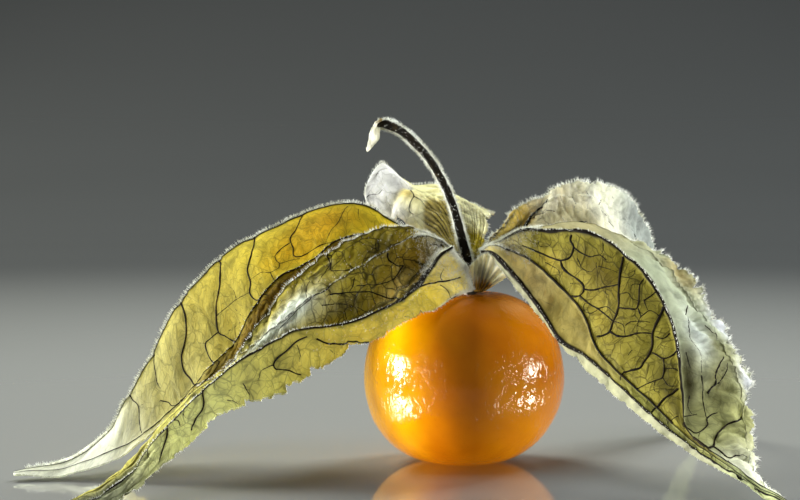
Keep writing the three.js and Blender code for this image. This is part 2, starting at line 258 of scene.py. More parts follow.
berry_outline = [(0.0, 0), (0.9, 0), (1.7, 0), (3.4, 0.2), (5.3, 0.95), (6.9, 2.3), (8.0, 4.2),
                 (8.5, 6.4), (8.45, 8.5), (7.9, 10.6), (6.8, 12.4), (5.2, 13.7), (3.6, 14.35),
                 (2.2, 14.5), (1.1, 14.3), (0.0, 14.15)]   # (radius, height), mm
BERRY_RADIUS, BERRY_HEIGHT = 8.5, 14.5
RINGS, SIDES = 120, 180
profile = along([(r, 0, z) for r, z in berry_outline], np.linspace(0, 1, RINGS))
angles = np.linspace(0, 2 * math.pi, SIDES, endpoint=False)
berry_points = [(0, 0, 0)]
for r, _, z in profile[1:-1]:
    lump = (1 + 0.008 * np.sin(3 * angles + 1) * smooth(0, 3, z)
            - 0.025 * np.maximum(0, np.cos(angles)) * smooth(0.2, 1, z) * (1 - smooth(2, 6, z)))
    dent = (0.035 * ripple(angles * BERRY_RADIUS, np.full_like(angles, z), 4, 5.0)
            * smooth(0.5, 2, z))
    radius = np.maximum(r * lump + dent * smooth(0.5, 4, r), 0.01)
    for a, q in zip(angles, radius):
        berry_points.append((q * math.cos(a) * MM, q * math.sin(a) * MM, max(z, 0) * MM))
berry_points.append((0, 0, berry_outline[-1][1] * MM))
berry = mesh_object("berry_fruit", berry_points,
                    ring_faces(1, RINGS - 2, SIDES, 0, len(berry_points) - 1))
shade_smooth(berry)

# Skin: mottled orange with pores. Painted light: yellower and brighter on its left, deepest in the
# middle, and darker halfway up than at its foot and top. Fine creases show in the wax alone.
skin, tree, shader = new_finish("ripe_orange_skin")
where = own_place(tree)
patches = put(tree, "ShaderNodeTexNoise", {"Scale": 160, "Detail": 3, "Vector": where})
colour = ramp(tree, patches, [(0.30, (0.60, 0.267, 0.0003)), (0.55, (0.78, 0.417, 0.0004)),
                              (0.75, (0.93, 0.549, 0.0007))])
pores = put(tree, "ShaderNodeTexVoronoi", {"Scale": 1500, "Vector": where})
colour = times(tree, colour, ramp(tree, pores, [(0.0, grey(0.80)), (0.22, grey(1.0))]), 0.5)
axes = put(tree, "ShaderNodeSeparateXYZ", {"Vector": where}).node.outputs
across = put(tree, "ShaderNodeMapRange", {"From Min": -BERRY_RADIUS * MM,
                                          "From Max": BERRY_RADIUS * MM, "Value": axes["X"]})
# Painted light: brighter and yellower on the left, darkest in the middle, as the side lamps fall.
painted_side_light = ramp(tree, across, [
    (0.0, (1.0, 1.0, 1.0)), (0.18, (0.98, 0.80, 1.0)), (0.36, (0.80, 0.46, 1.0)),
    (0.54, (0.48, 0.26, 0.9)), (0.72, (0.64, 0.39, 0.9)), (1.0, (0.72, 0.47, 0.9))])
# Painted light: darker halfway up, brighter towards its foot and top.
upward = put(tree, "ShaderNodeMapRange", {"From Max": BERRY_HEIGHT * MM, "Value": axes["Z"]})
painted_height_light = ramp(tree, upward, [(0.08, grey(1.0)), (0.36, grey(0.70)), (0.55, grey(0.66)),
                            (0.86, grey(0.86))])
colour = times(tree, times(tree, colour, painted_side_light), painted_height_light)
stretched = put(tree, "ShaderNodeMapping", {"Scale": (1, 1, 0.55), "Vector": where})
creases = put(tree, "ShaderNodeTexNoise",
              {"Scale": 1600, "Detail": 2.8, "Distortion": 1.5, "Vector": stretched})
wrinkled = put(tree, "ShaderNodeBump", {"Strength": 1.0, "Distance": 0.095 * MM,
                                        "Height": creases})
feed(tree, shader, {
    "Base Color": colour, "Roughness": 0.6, "Specular IOR Level": 0.0, "Coat Weight": 1.0,
    "Coat IOR": 1.38, "Coat Normal": wrinkled,
    "Coat Roughness": ramp(tree, creases, [(0.3, grey(0.03)), (0.7, grey(0.06))])})
berry.data.materials.append(skin)
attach(berry, "root")
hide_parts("berry")

# The berry has windows and bounces of its own, so that its wax shows four bright spots, each
# with a fainter strip beside it. The husk on its right does not stand in their way.
flagged.objects.link(berry)
flagged.collection_objects[1].light_linking.link_state = "EXCLUDE"
top_fill.light_linking.receiver_collection = lamp_list("all_but_the_berry", berry, "EXCLUDE")
berry_only = lamp_list("berry_only", berry)
no_floor = lamp_list("shines_through_the_floor", floor, "EXCLUDE")
for name, place, size, watts, stopped_by in (
        ("berry_left", (-0.232, -0.026, 0.036), (0.062, 0.080), 1.70, None),
        ("berry_right", (0.232, -0.036, 0.036), (0.044, 0.054), 0.56, berry_only),
        ("berry_left_low", (-0.232, -0.026, -0.092), (0.062, 0.066), 0.80, no_floor),
        ("berry_right_low", (0.232, -0.036, -0.068), (0.038, 0.044), 0.34, berry_only),
        ("berry_left_strip", (-0.17, -0.152, 0.050), (0.007, 0.060), 0.060, None),
        ("berry_right_strip", (0.18, -0.140, 0.040), (0.007, 0.028), 0.026, berry_only),
        ("berry_left_low_strip", (-0.17, -0.152, -0.080), (0.007, 0.048), 0.045, no_floor),
        ("berry_right_low_strip", (0.17, -0.140, -0.085), (0.012, 0.030), 0.050, berry_only)):
    box = soft_box(name, place, (0, 0, 0.010), size, watts, (1, 0.95, 0.78), lights=berry_only,
                   stopped_by=stopped_by)
    box.data.shape = "ELLIPSE"
berry_top = soft_box("berry_top", (0.03, 0.10, 0.25), (0, 0, 0.012), (0.1, 0.1), 0.60,
                     lights=berry_only)
berry_top.visible_glossy = False

# Stalk: a thin, ridged, dark and downy stalk that bends over, with a knob where it joins the
# berry. It grew in one piece with the foot of the husk.
stalk_path = [(1.25, 0, 14.6), (0.9, 0, 15.5), (0.5, 0, 16.6), (0.1, 0, 18.2), (-0.46, 0.1, 20.4),
              (-1.1, 0.2, 22.5), (-1.85, 0.3, 24.1), (-2.8, 0.3, 25.7), (-4.05, 0.3, 27.15),
              (-5.4, 0.2, 28.3), (-6.5, 0.1, 28.8), (-7.35, 0, 28.85)]
STALK_RINGS, STALK_SIDES = 260, 36


def unit(v):
    return v / np.maximum(np.linalg.norm(v, axis=-1, keepdims=True), 1e-9)


def mark(piece, key, kind, values):
    """Keeps a FLOAT, FLOAT_VECTOR or FLOAT_COLOR for each point of a piece."""
    field = {"FLOAT": "value", "FLOAT_VECTOR": "vector", "FLOAT_COLOR": "color"}[kind]
    piece.data.attributes.new(key, kind, "POINT").data.foreach_set(field, np.ravel(values))


def tube(path, rings, sides, radius):
    """A closed tube round a path (mm). radius(share, angle) is in mm."""
    shares = np.linspace(0, 1, rings)
    centres = along(path, shares)
    tangents = unit(np.gradient(centres, axis=0))
    side = unit(np.cross(tangents, np.array([0, 1.0, 0])))
    other = np.cross(tangents, side)
    points = []
    for i, share in enumerate(shares):
        for a in np.linspace(0, 2 * math.pi, sides, endpoint=False):
            out = side[i] * math.cos(a) + other[i] * math.sin(a)
            points.append((centres[i] + out * radius(share, a)) * MM)
    points += [centres[0] * MM, centres[-1] * MM]
    return points, ring_faces(0, rings, sides, len(points) - 2, len(points) - 1)


def stalk_radius(share, angle):
    knob = 0.62 * smooth(0.05, 0.012, share)
    foot = 0.10 * smooth(0.5, 0.05, share)
    end = 0.05 * smooth(0.86, 0.93, share) - 0.16 * smooth(0.95, 1, share)
    ridges = 1 + 0.07 * math.cos(5 * angle + 3 * share) + 0.035 * math.cos(11 * angle)
    knots = 1 + 0.05 * math.sin(61 * share + 2 * angle) * math.sin(23 * share)
    return (0.37 + knob + foot + end) * ridges * knots


stalk = mesh_object("stalk", *tube(stalk_path, STALK_RINGS, STALK_SIDES, stalk_radius))
# Painted rim light: 1 along the stalk's two sides, 0 at its front and back.
down_and_rim_light = [abs(math.cos(2 * math.pi * j / STALK_SIDES)) for j in range(STALK_SIDES)] * STALK_RINGS
mark(stalk, "down_and_rim_light", "FLOAT", down_and_rim_light + [0.0, 0.0])
shade_smooth(stalk)

# Bark: nearly black, with white down along its two sides, none at its front and back: partly
# real down, partly painted rim light where the side lamps catch it.
bark, tree, shader = new_finish("dark_dry_stalk")
streaks = put(tree, "ShaderNodeTexNoise", {"Scale": 1400, "Detail": 4,
                                           "Vector": own_place(tree)})
down_and_rim_spots = put(tree, "ShaderNodeMath", {
    0: streaks, 1: 0.28, 2: put(tree, "ShaderNodeAttribute", out="Fac", attribute_name="down_and_rim_light")},
    operation="MULTIPLY_ADD")
bark_with_rim_light = put(tree, "ShaderNodeMix", {
    "Factor": put(tree, "ShaderNodeMapRange", {"From Min": 1.00, "From Max": 1.14,
                                               "Value": down_and_rim_spots}),
    "A": ramp(tree, streaks, [(0.36, (0.004, 0.003, 0.001)), (0.60, (0.014, 0.010, 0.004)),
                              (0.80, (0.12, 0.09, 0.035))]),
    "B": (0.85, 0.86, 0.78, 1)}, data_type="RGBA")
feed(tree, shader, {
    "Base Color": bark_with_rim_light, "Roughness": 0.7, "Specular IOR Level": 0.15,
    "Normal": put(tree, "ShaderNodeBump", {"Strength": 0.5, "Distance": 0.1 * MM,
                                           "Height": streaks})})
stalk.data.materials.append(bark)
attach(stalk, "root")
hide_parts("pedicel")


# Left back lobe: a dry papery sheet with strong ribs and a raised net of veins. It grew from
# the cup at the stalk's foot, and arches like a tent to a pointed tip on the surface. Fine
# white down on its ribs.
def paint(code):
    """A colour from its web code, as the shader reads it."""
    parts = [int(code[i:i + 2], 16) / 255 for i in (1, 3, 5)]
    return np.array([p / 12.92 if p <= 0.04045 else ((p + 0.055) / 1.055) ** 2.4 for p in parts])


def patch(u, s, along_at, across_at, long, wide):
    """A soft spot on a sheet: 1 in its middle, fading out. All are shares of the sheet."""
    return np.exp(-((u - along_at) / long) ** 2 - ((s - across_at) / wide) ** 2)


def tinted(u, first, washes, net):
    """The colours of a sheet, from washes (colour, amount from 0 to 1) laid in turn over a
    first one, and how dark its net of veins is."""
    c = np.zeros(u.shape + (3,)) + paint(first)
    for code, amount in washes:
        c = c * (1 - amount[..., None]) + paint(code) * amount[..., None]
    return np.concatenate([c, np.ones(u.shape + (1,))], -1), np.clip(net + 0 * u, 0, 1)


def read_grid(grid, path):
    """Values of a grid at (share along, share across) points."""
    path = np.asarray(path, float)
    rows, wide = grid.shape[:2]
    i = np.clip(path[:, 0], 0, 1) * (rows - 1)
    j = np.clip(path[:, 1], 0, 1) * (wide - 1)
    a, b = np.minimum(i.astype(int), rows - 2), np.minimum(j.astype(int), wide - 2)
    f, g = i - a, j - b
    if grid.ndim == 3:
        f, g = f[:, None], g[:, None]
    return ((grid[a, b] * (1 - f) + grid[a + 1, b] * f) * (1 - g)
            + (grid[a, b + 1] * (1 - f) + grid[a + 1, b + 1] * f) * g)


def husk_sheet(name, lines, cells, rows, ribs, tear, colours, crumple, seed, drop=0.3,
               veins=()):
    """A thin closed sheet over the long lines of a lobe (mm). ribs gives each line's
    (height, half width, darkness); tear is how far each edge is torn in, as a share.
    The paper sinks a little along its veins, and settles by drop towards its tip."""
    u = np.linspace(0, 1, rows + 1)
    guides = np.array([along(line, u) for line in lines])
    n = len(cells)
    share = np.concatenate([(k + 0.5 - 0.5 * np.cos(np.pi * np.arange(c) / c)) / n
                            for k, c in enumerate(cells)] + [[1.0]])
    x = u * np.linalg.norm(np.diff(guides.mean(0), axis=0), axis=1).sum()
    ends = smooth(0, 0.06, u) * smooth(0, 0.05, 1 - u)

    def torn(amount, k):
        """How far an edge is bitten in, row by row."""
        bites = (0.5 + 0.28 * ripple(x, 0 * x, seed + k, 5.0)
                 + 0.22 * np.abs(ripple(x, 0 * x, seed + k + 9, 1.3))
                 + 0.10 * ripple(x, 0 * x, seed + k + 5, 0.45)
                 + 0.45 * np.mod(x / 3.4 + 0.3 * ripple(x, 0 * x, seed + k + 2, 6.0), 1) ** 3)
        return np.clip(amount * ends * smooth(0.03, 0.22, u) * bites, 0, 0.5)[:, None]

    low, high = torn(tear[0], 0), torn(tear[1], 1)
    first, final = 1 / n, 1 - 1 / n
    s = np.repeat(share[None, :], rows + 1, 0)
    s = np.where(s < first, low + s * (first - low) / first, s)
    s = np.where(s > final, final + (s - final) * (first - high) * n, s)
    grid = spline(guides, s)
    y = np.pad(np.cumsum(np.linalg.norm(np.diff(grid, axis=1), axis=2), axis=1),
               ((0, 0), (1, 0)))
    xx, uu = (np.repeat(v[:, None], len(share), 1) for v in (x, u))

    def normals_of(points):
        return unit(np.cross(np.gradient(points, axis=0), np.gradient(points, axis=1)))

    normal = normals_of(grid)
    sign = -1 if normal[..., 2].sum() < 0 else 1
    # near both ends, where the lines meet, all points of a row share one normal
    mean = (sign * normal).mean(1, keepdims=True)
    even = (1 - smooth(0, 0.10, u) * smooth(0, 0.12, 1 - u))[:, None, None]
    normal = unit(sign * normal * (1 - even) + mean * even)
    # folds and crumples, sunk along the veins
    far, groove_depth, groove_width = 9.0, 0.10, 0.42
    near = np.full(s.shape, far)
    groove = np.zeros(s.shape)
    for weight, path in veins:
        d = np.full(s.shape, far)
        course = along(path, np.linspace(0, 1, 12 * len(path)))
        for spot in read_grid(np.stack([xx, y], -1), course):
            d = np.minimum(d, np.hypot(xx - spot[0], y - spot[1]))
        near = np.minimum(near, d)
        groove = np.maximum(groove, weight * np.exp(-(d / groove_width) ** 2))
    lift = (crumple(uu, s, xx, y) * (ends[:, None] ** 0.5) - groove_depth * groove
            - drop * smooth(0.55, 0.95, uu))
    grid = grid + normal * lift[..., None]
    normal = unit(sign * normals_of(grid) * (1 - even) + mean * even)
    # ribs: distance from each rib's own column
    columns = np.concatenate([[0], np.cumsum(cells)])
    ink = np.zeros(s.shape)
    ridge = np.zeros(s.shape)
    thin = 1 - 0.65 * smooth(0.1, 1, uu)
    for column, (height, half, dark) in zip(columns, ribs):
        d = np.abs(y - y[:, column:column + 1])
        reach = half * thin * (1 + 0.25 * ripple(xx, 0 * xx, seed + 31 + column, 3.0))
        ridge = np.maximum(ridge, height * thin * np.exp(-(d / (reach + 0.05)) ** 2))
        ink = np.maximum(ink, dark * (1 - smooth(0.75, 1.25, d / np.maximum(reach, 0.02))))
    half_paper, lowest = 0.06, 0.01
    top = grid + normal * (ridge + half_paper)[..., None]
    under = grid - normal * (0.35 * ridge + half_paper)[..., None]
    top[..., 2] = np.maximum(top[..., 2], lowest + 2 * half_paper)
    under[..., 2] = np.minimum(np.maximum(under[..., 2], lowest),
                               top[..., 2] - 0.02 * even[..., 0])
    count = s.size
    index = np.arange(count).reshape(s.shape)
    face = np.stack([index[:-1, :-1], index[1:, :-1], index[1:, 1:], index[:-1, 1:]],
                    -1).reshape(-1, 4)
    rim = [np.stack([a, a + count, b + count, b], -1)
           for a, b in ((index[:-1, 0], index[1:, 0]), (index[1:, -1], index[:-1, -1]),
                        (index[0, 1:], index[0, :-1]), (index[-1, :-1], index[-1, 1:]))]
    quads = np.concatenate([face, face[:, ::-1] + count, *rim])
    piece = mesh_object(name, np.concatenate([top.reshape(-1, 3), under.reshape(-1, 3)]) * MM,
                        quads[:, ::sign])
    net = np.stack([xx + 0.45 * ripple(xx, y, seed + 3, 4.5) + 0.06 * ripple(xx, y, seed + 7, 1.2),
                    y + 0.45 * ripple(y, xx, seed + 4, 4.5) + 0.06 * ripple(y, xx, seed + 8, 1.2),
                    np.full_like(xx, 7.3 * seed)], -1)
    tint, strength = colours(uu, s, xx, y)
    bare = smooth(2.2, 3.4, near)   # of larger veins, so that the fine net fills in
    for key, kind, values in (
            ("net", "FLOAT_VECTOR", net), ("out", "FLOAT_VECTOR", normal),
            ("tint", "FLOAT_COLOR", tint), ("ink", "FLOAT", ink),
            ("net_ink", "FLOAT", strength), ("bare", "FLOAT", bare * strength)):
        mark(piece, key, kind, [values, values])
    shade_smooth(piece)
    return piece, top, normal, columns


def shape_tree(name, inputs):
    """An empty shape tree with named inputs. Returns it, its entry and the keys by which its
    inputs are set."""
    made = bpy.data.node_groups.new(name, "GeometryNodeTree")
    for side in ("INPUT", "OUTPUT"):
        made.interface.new_socket("Geometry", in_out=side, socket_type="NodeSocketGeometry")
    keys = {}
    for key, kind, value in inputs:
        socket = made.interface.new_socket(key, in_out="INPUT", socket_type="NodeSocket" + kind)
        if value is not None:
            socket.default_value = value
        keys[key] = socket.identifier
    return made, made.nodes.new("NodeGroupInput").outputs, keys


def stored(tree, key, kind="FLOAT"):
    """What a point keeps under a name, in a shape tree."""
    return put(tree, "GeometryNodeInputNamedAttribute", {"Name": key}, data_type=kind)


def close_tree(tree, shape, finish):
    whole = put(tree, "GeometryNodeRealizeInstances", {"Geometry": shape})
    put(tree, "NodeGroupOutput", {"Geometry": put(
        tree, "GeometryNodeSetMaterial", {"Geometry": whole, "Material": finish})})


def run_tree(piece, tree, keys, values):
    """Runs a shape tree on a piece, and keeps the result as a plain mesh."""
    modifier = piece.modifiers.new(tree.name, "NODES")
    modifier.node_group = tree
    for key, value in values.items():
        modifier[keys[key]] = value
    graph = bpy.context.evaluated_depsgraph_get()
    graph.update()
    result = bpy.data.meshes.new_from_object(piece.evaluated_get(graph))
    result.name = piece.name
    piece.modifiers.clear()
    piece.data = result


# Net of veins: the paper is pushed outwards along the net that its finish draws.
relief, entry, relief_keys = shape_tree("vein_relief", (
    ("Vein height", "Float", 0.09 * MM), ("Cells per mm", "Float", 0.27),
    ("Paper", "Material", None)))
net_lines = put(relief, "ShaderNodeTexVoronoi", {
    "Vector": stored(relief, "net", "FLOAT_VECTOR"), "Scale": entry["Cells per mm"]},
    feature="DISTANCE_TO_EDGE")
share_up = put(relief, "ShaderNodeMath", {
    0: eased(relief, net_lines, 0.0, 0.34, 1.0, 0.0), 1: stored(relief, "bare")},
    operation="MULTIPLY")
height_up = put(relief, "ShaderNodeMath", {0: share_up, 1: entry["Vein height"]},
                operation="MULTIPLY")
push = put(relief, "ShaderNodeVectorMath", {
    "Vector": stored(relief, "out", "FLOAT_VECTOR"), "Scale": height_up}, operation="SCALE")
raised = put(relief, "GeometryNodeSetPosition", {"Geometry": entry["Geometry"], "Offset": push})
close_tree(relief, raised, entry["Paper"])


def let_light_through(tree, shader, colour, amount):
    glow = put(tree, "ShaderNodeBsdfTranslucent", {"Color": colour})
    both = put(tree, "ShaderNodeMixShader", {"Fac": amount, 1: shader.outputs["BSDF"], 2: glow})
    feed(tree, tree.nodes["Material Output"], {"Surface": both})


def husk_paper(name, cells_per_mm, see_through, woolly=0.0):
    """Dry husk: tinted paper with a net of dark veins, some light coming through, less of it
    where the paper is white with wool."""
    paper, tree, shader = new_finish(name)

    def kept(key, out="Fac"):
        return put(tree, "ShaderNodeAttribute", out=out, attribute_name=key)

    def maths(operation, a, b):
        return put(tree, "ShaderNodeMath", {0: a, 1: b}, operation=operation)

    def lines(scale, half_width, soft):
        to_edge = put(tree, "ShaderNodeTexVoronoi", {
            "Scale": scale, "Vector": kept("net", "Vector")}, feature="DISTANCE_TO_EDGE")
        return eased(tree, to_edge, half_width * scale * (1 - soft),
                     half_width * scale * (1 + soft), 1.0, 0.0)

    def noise(scale, detail, rough=0.55):
        return put(tree, "ShaderNodeTexNoise", {
            "Scale": scale, "Detail": detail, "Roughness": rough,
            "Vector": kept("net", "Vector")})

    mottle = ramp(tree, noise(0.55, 5, 0.62),
                  [(0.28, grey(0.50)), (0.5, grey(1.0)), (0.74, grey(1.28))])
    toned = times(tree, kept("tint", "Color"), mottle, 0.75)
    specks = ramp(tree, noise(2.6, 4, 0.7), [(0.60, grey(0.0)), (0.70, grey(1.0))])
    breaks = ramp(tree, noise(0.8, 2), [(0.34, grey(0.35)), (0.50, grey(1.0))])
    small_nets = maths("MULTIPLY", maths(
        "MAXIMUM", maths("MULTIPLY", lines(0.62, 0.044, 0.7), 0.85),
        maths("MULTIPLY", lines(1.6, 0.028, 0.7), 0.55)), breaks)
    drawn = maths("MULTIPLY", maths("MAXIMUM", small_nets, maths("MULTIPLY", specks, 0.30)),
                  kept("net_ink"))
    main_net = maths("MULTIPLY", lines(cells_per_mm, 0.055, 0.6), 0.92)
    drawn = maths("MAXIMUM", drawn, maths("MULTIPLY", main_net, kept("bare")))
    drawn = maths("MAXIMUM", drawn, kept("ink"))
    inked = put(tree, "ShaderNodeMix", {
        "Factor": maths("MINIMUM", drawn, 1.0), "A": toned, "B": (0.010, 0.006, 0.002, 1)},
        data_type="RGBA")
    relief_height = maths("ADD", noise(2.2, 6, 0.65), maths("MULTIPLY", drawn, 0.7))
    feed(tree, shader, {
        "Base Color": inked, "Roughness": 0.62, "Specular IOR Level": 0.25,
        "Sheen Weight": 0.06, "Sheen Roughness": 0.4,
        "Normal": put(tree, "ShaderNodeBump", {"Strength": 0.55, "Distance": 0.16 * MM,
                                               "Height": relief_height})})
    white = put(tree, "ShaderNodeSeparateColor", {"Color": kept("tint", "Color")}, out="Blue")
    let_light_through(tree, shader, inked, eased(
        tree, white, 0.35, 0.75, see_through, see_through * (1 - woolly)))
    return paper


def dress(sheet, paper_name, cells_per_mm, see_through, vein_height, woolly=0.0):
    """Gives a sheet its paper, with the net of veins raised by vein_height (mm)."""
    paper = husk_paper(paper_name, cells_per_mm, see_through, woolly)
    run_tree(sheet, relief, relief_keys, {
        "Vein height": vein_height * MM, "Cells per mm": cells_per_mm, "Paper": paper})
    shade_smooth(sheet)


# Larger veins: brown strands laid on the paper along their own courses.
VEIN_SIDES = 6
strands, entry, strand_keys = shape_tree("laid_veins", (
    ("Thickness", "Float", 0.095 * MM), ("Sides", "Int", VEIN_SIDES),
    ("Vein", "Material", None)))
course = put(strands, "GeometryNodeMeshToCurve", {"Mesh": entry["Geometry"]})
section = put(strands, "GeometryNodeCurvePrimitiveCircle", {
    "Resolution": entry["Sides"], "Radius": entry["Thickness"]})
strand = put(strands, "GeometryNodeCurveToMesh", {
    "Curve": course, "Profile Curve": section, "Scale": stored(strands, "girth"),
    "Fill Caps": True})
close_tree(strands, strand, entry["Vein"])

vein_brown, tree, shader = new_finish("dark_vein")
shade = put(tree, "ShaderNodeTexNoise", {"Scale": 500, "Vector": own_place(tree)})
feed(tree, shader, {
    "Base Color": ramp(tree, shade, [(0.35, (0.004, 0.003, 0.001)),
                                     (0.65, (0.018, 0.012, 0.004))]),
    "Roughness": 0.65, "Specular IOR Level": 0.12})


def paths(rows):
    """Veins as (weight, course). Each row has a weight and then the points of a course, as
    thousandths of the way along and across the sheet."""
    return [(weight, np.array(course) / 1000) for weight, *course in rows]


def lay_veins(name, top, normal, veins, thick=0.112):
    """Raised veins on a sheet, thick (mm) where their weight is 1."""
    points, edges, girths = [], [], []
    for weight, path in veins:
        shares = along(path, np.linspace(0, 1, 14 * len(path)))
        spots = read_grid(top, shares) - 0.03 * read_grid(normal, shares)
        first = len(points)
        points += list(spots * MM)
        edges += [(first + k, first + k + 1) for k in range(len(spots) - 1)]
        run = np.linspace(0, 1, len(spots))
        knots = 1 + 0.22 * ripple(9 * run, 0 * run, first, 1.6)
        girths += list(weight * (1 - 0.3 * run) * knots)
    piece = mesh_object(name, points, [], edges)
    mark(piece, "girth", "FLOAT", girths)
    run_tree(piece, strands, strand_keys,
             {"Thickness": thick * MM, "Sides": VEIN_SIDES, "Vein": vein_brown})
    shade_smooth(piece)
    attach(piece, "root")


# Down: white hairs, each a thin cone that leans its own way.
HAIR_SEED = 5
down, entry, down_keys = shape_tree("down_hairs", (
    ("Hair radius", "Float", 0.026 * MM), ("Seed", "Int", HAIR_SEED),
    ("Hair", "Material", None)))
hair = put(down, "GeometryNodeMeshCone", {
    "Vertices": 3, "Depth": 1.0, "Radius Bottom": entry["Hair radius"]})
spread = put(down, "FunctionNodeRandomValue", {
    "Min": (-0.55, -0.55, -0.55), "Max": (0.55, 0.55, 0.55), "Seed": entry["Seed"]},
    data_type="FLOAT_VECTOR")
leaning = put(down, "ShaderNodeVectorMath", {
    0: stored(down, "lean", "FLOAT_VECTOR"), 1: spread}, operation="ADD")
planted = put(down, "GeometryNodeInstanceOnPoints", {
    "Points": entry["Geometry"], "Instance": hair,
    "Rotation": put(down, "FunctionNodeAlignEulerToVector", {"Vector": leaning}, axis="Z"),
    "Scale": put(down, "ShaderNodeCombineXYZ", {"X": 1, "Y": 1, "Z": stored(down, "reach")})})
close_tree(down, planted, entry["Hair"])

hair_white, tree, shader = new_finish("white_down")
shade = put(tree, "ShaderNodeTexNoise", {"Scale": 900, "Vector": own_place(tree)})
hair_tone = ramp(tree, shade, [(0.3, (0.72, 0.72, 0.62)), (0.7, (0.95, 0.96, 0.93))])
feed(tree, shader, {"Base Color": hair_tone, "Roughness": 0.5})
let_light_through(tree, shader, hair_tone, 0.5)


def grow_down(name, seeds, radius=0.026):
    """Hairs from seeds, a list of (position, direction, length) in mm."""
    places, leans, lengths = (np.array(part) for part in zip(*seeds))
    piece = mesh_object(name, places * MM, [])
    mark(piece, "lean", "FLOAT_VECTOR", leans)
    mark(piece, "reach", "FLOAT", lengths * MM)
    run_tree(piece, down, down_keys,
             {"Hair radius": radius * MM, "Seed": HAIR_SEED, "Hair": hair_white})
    for key in ("lean", "reach"):
        if key in piece.data.attributes:
            piece.data.attributes.remove(piece.data.attributes[key])
    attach(piece, "root")


def lines_down(top, normal, draw, *lines):
    """Seeds of down along columns of a sheet: (column, hairs per mm, reach, start, stop), and
    for a rim also 1 or -1, which turns them outwards past it."""
    seeds = []
    for column, per_mm, reach, start, stop, *rim in lines:
        path = top[:, column]
        run = np.concatenate([[0], np.cumsum(np.linalg.norm(np.diff(path, axis=0), axis=1))])
        for _ in range(int(run[-1] * per_mm * (stop - start))):
            at = draw.uniform(start, stop) * run[-1]
            i = min(int(np.searchsorted(run, at)), len(top) - 1)
            k = max(i - 1, 0)
            f = (at - run[k]) / max(run[i] - run[k], 1e-9)
            direction = normal[i, column]
            if rim:
                direction = 0.35 * direction + unit(path[i] - top[i, column - 4 * rim[0]])
            seeds.append((path[k] * (1 - f) + path[i] * f - 0.02 * direction, direction,
                          reach * draw.uniform(0.45, 1.1)))
    return seeds


def face_down(top, normal, draw, count, reach, rows_from, rows_to, s_from=0, s_to=1):
    """Seeds of down scattered on a stretch of a sheet."""
    rows, wide = top.shape[:2]
    seeds = []
    for _ in range(count):
        i = int(rows * (rows_from + (rows_to - rows_from) * draw.random() ** 1.6))
        j = int((wide - 1) * draw.uniform(s_from, s_to))
        i = min(max(i, 0), rows - 2)
        j = min(max(j, 0), wide - 2)
        f, g = draw.random(), draw.random()
        p = (top[i, j] * (1 - f) * (1 - g) + top[i + 1, j] * f * (1 - g)
             + top[i, j + 1] * (1 - f) * g + top[i + 1, j + 1] * f * g)
        seeds.append((p - 0.02 * normal[i, j], normal[i, j], reach * draw.uniform(0.4, 1.1)))
    return seeds


def end_down(end, inner, tilt, draw, count, reach, outward=1.0):
    """Seeds of down along the end row of a sheet, count at each of its points. They lean away
    from an inner row, and by tilt."""
    return [(p - 0.02 * away, outward * away + lean, reach * draw.uniform(0.4, 1.1))
            for p, away, lean in zip(end, unit(end - inner), np.broadcast_to(tilt, end.shape))
            for _ in range(count)]


def left_back_colours(u, s, x, y):
    strip = smooth(0.72, 0.80, s) * smooth(0.75, 0.45, u)
    ink = 0.38 + 0.35 * strip - 0.25 * smooth(0.62, 0.95, u)
    return tinted(u, "#e2d434", [
        ("#cfb02a", patch(u, s, 0.27, 0.62, 0.10, 0.12)),
        ("#c9bd54", smooth(0.25, 0.5, u)),
        ("#d0cb86", smooth(0.48, 0.72, u)),
        ("#f2f4e4", smooth(0.69, 0.85, u)),
        ("#e0cd84", smooth(0.43, 0.36, s) * smooth(0.8, 0.6, u)),
        ("#a8962e", smooth(0.08, 0.02, u)),
        # Painted light: a bright yellow patch lifting the shade under the crest.
        ("#ffe23c", 0.8 * patch(u, s, 0.33, 0.67, 0.06, 0.05)),
        ("#937a1f", strip),
        # Painted shadow: a near-black band near the front edge, where the left front lobe shades
        # it.
        ("#2c210a", smooth(0.86, 0.95, s) * smooth(0.20, 0.28, u) * smooth(0.56, 0.46, u)),
        ("#d9dcc4", smooth(0.965, 0.995, s) * smooth(0.3, 0.5, u))], ink)


def left_back_crumple(u, s, x, y):
    strip = smooth(0.70, 0.82, s) * smooth(0.22, 0.32, u) * smooth(0.8, 0.6, u)
    return (0.16 * ripple(x, y, 11, 7.0) + 0.05 * ripple(x, y, 12, 2.2)
            + 0.16 * strip * ripple(x * 0.6, y * 1.8, 13, 1.5))


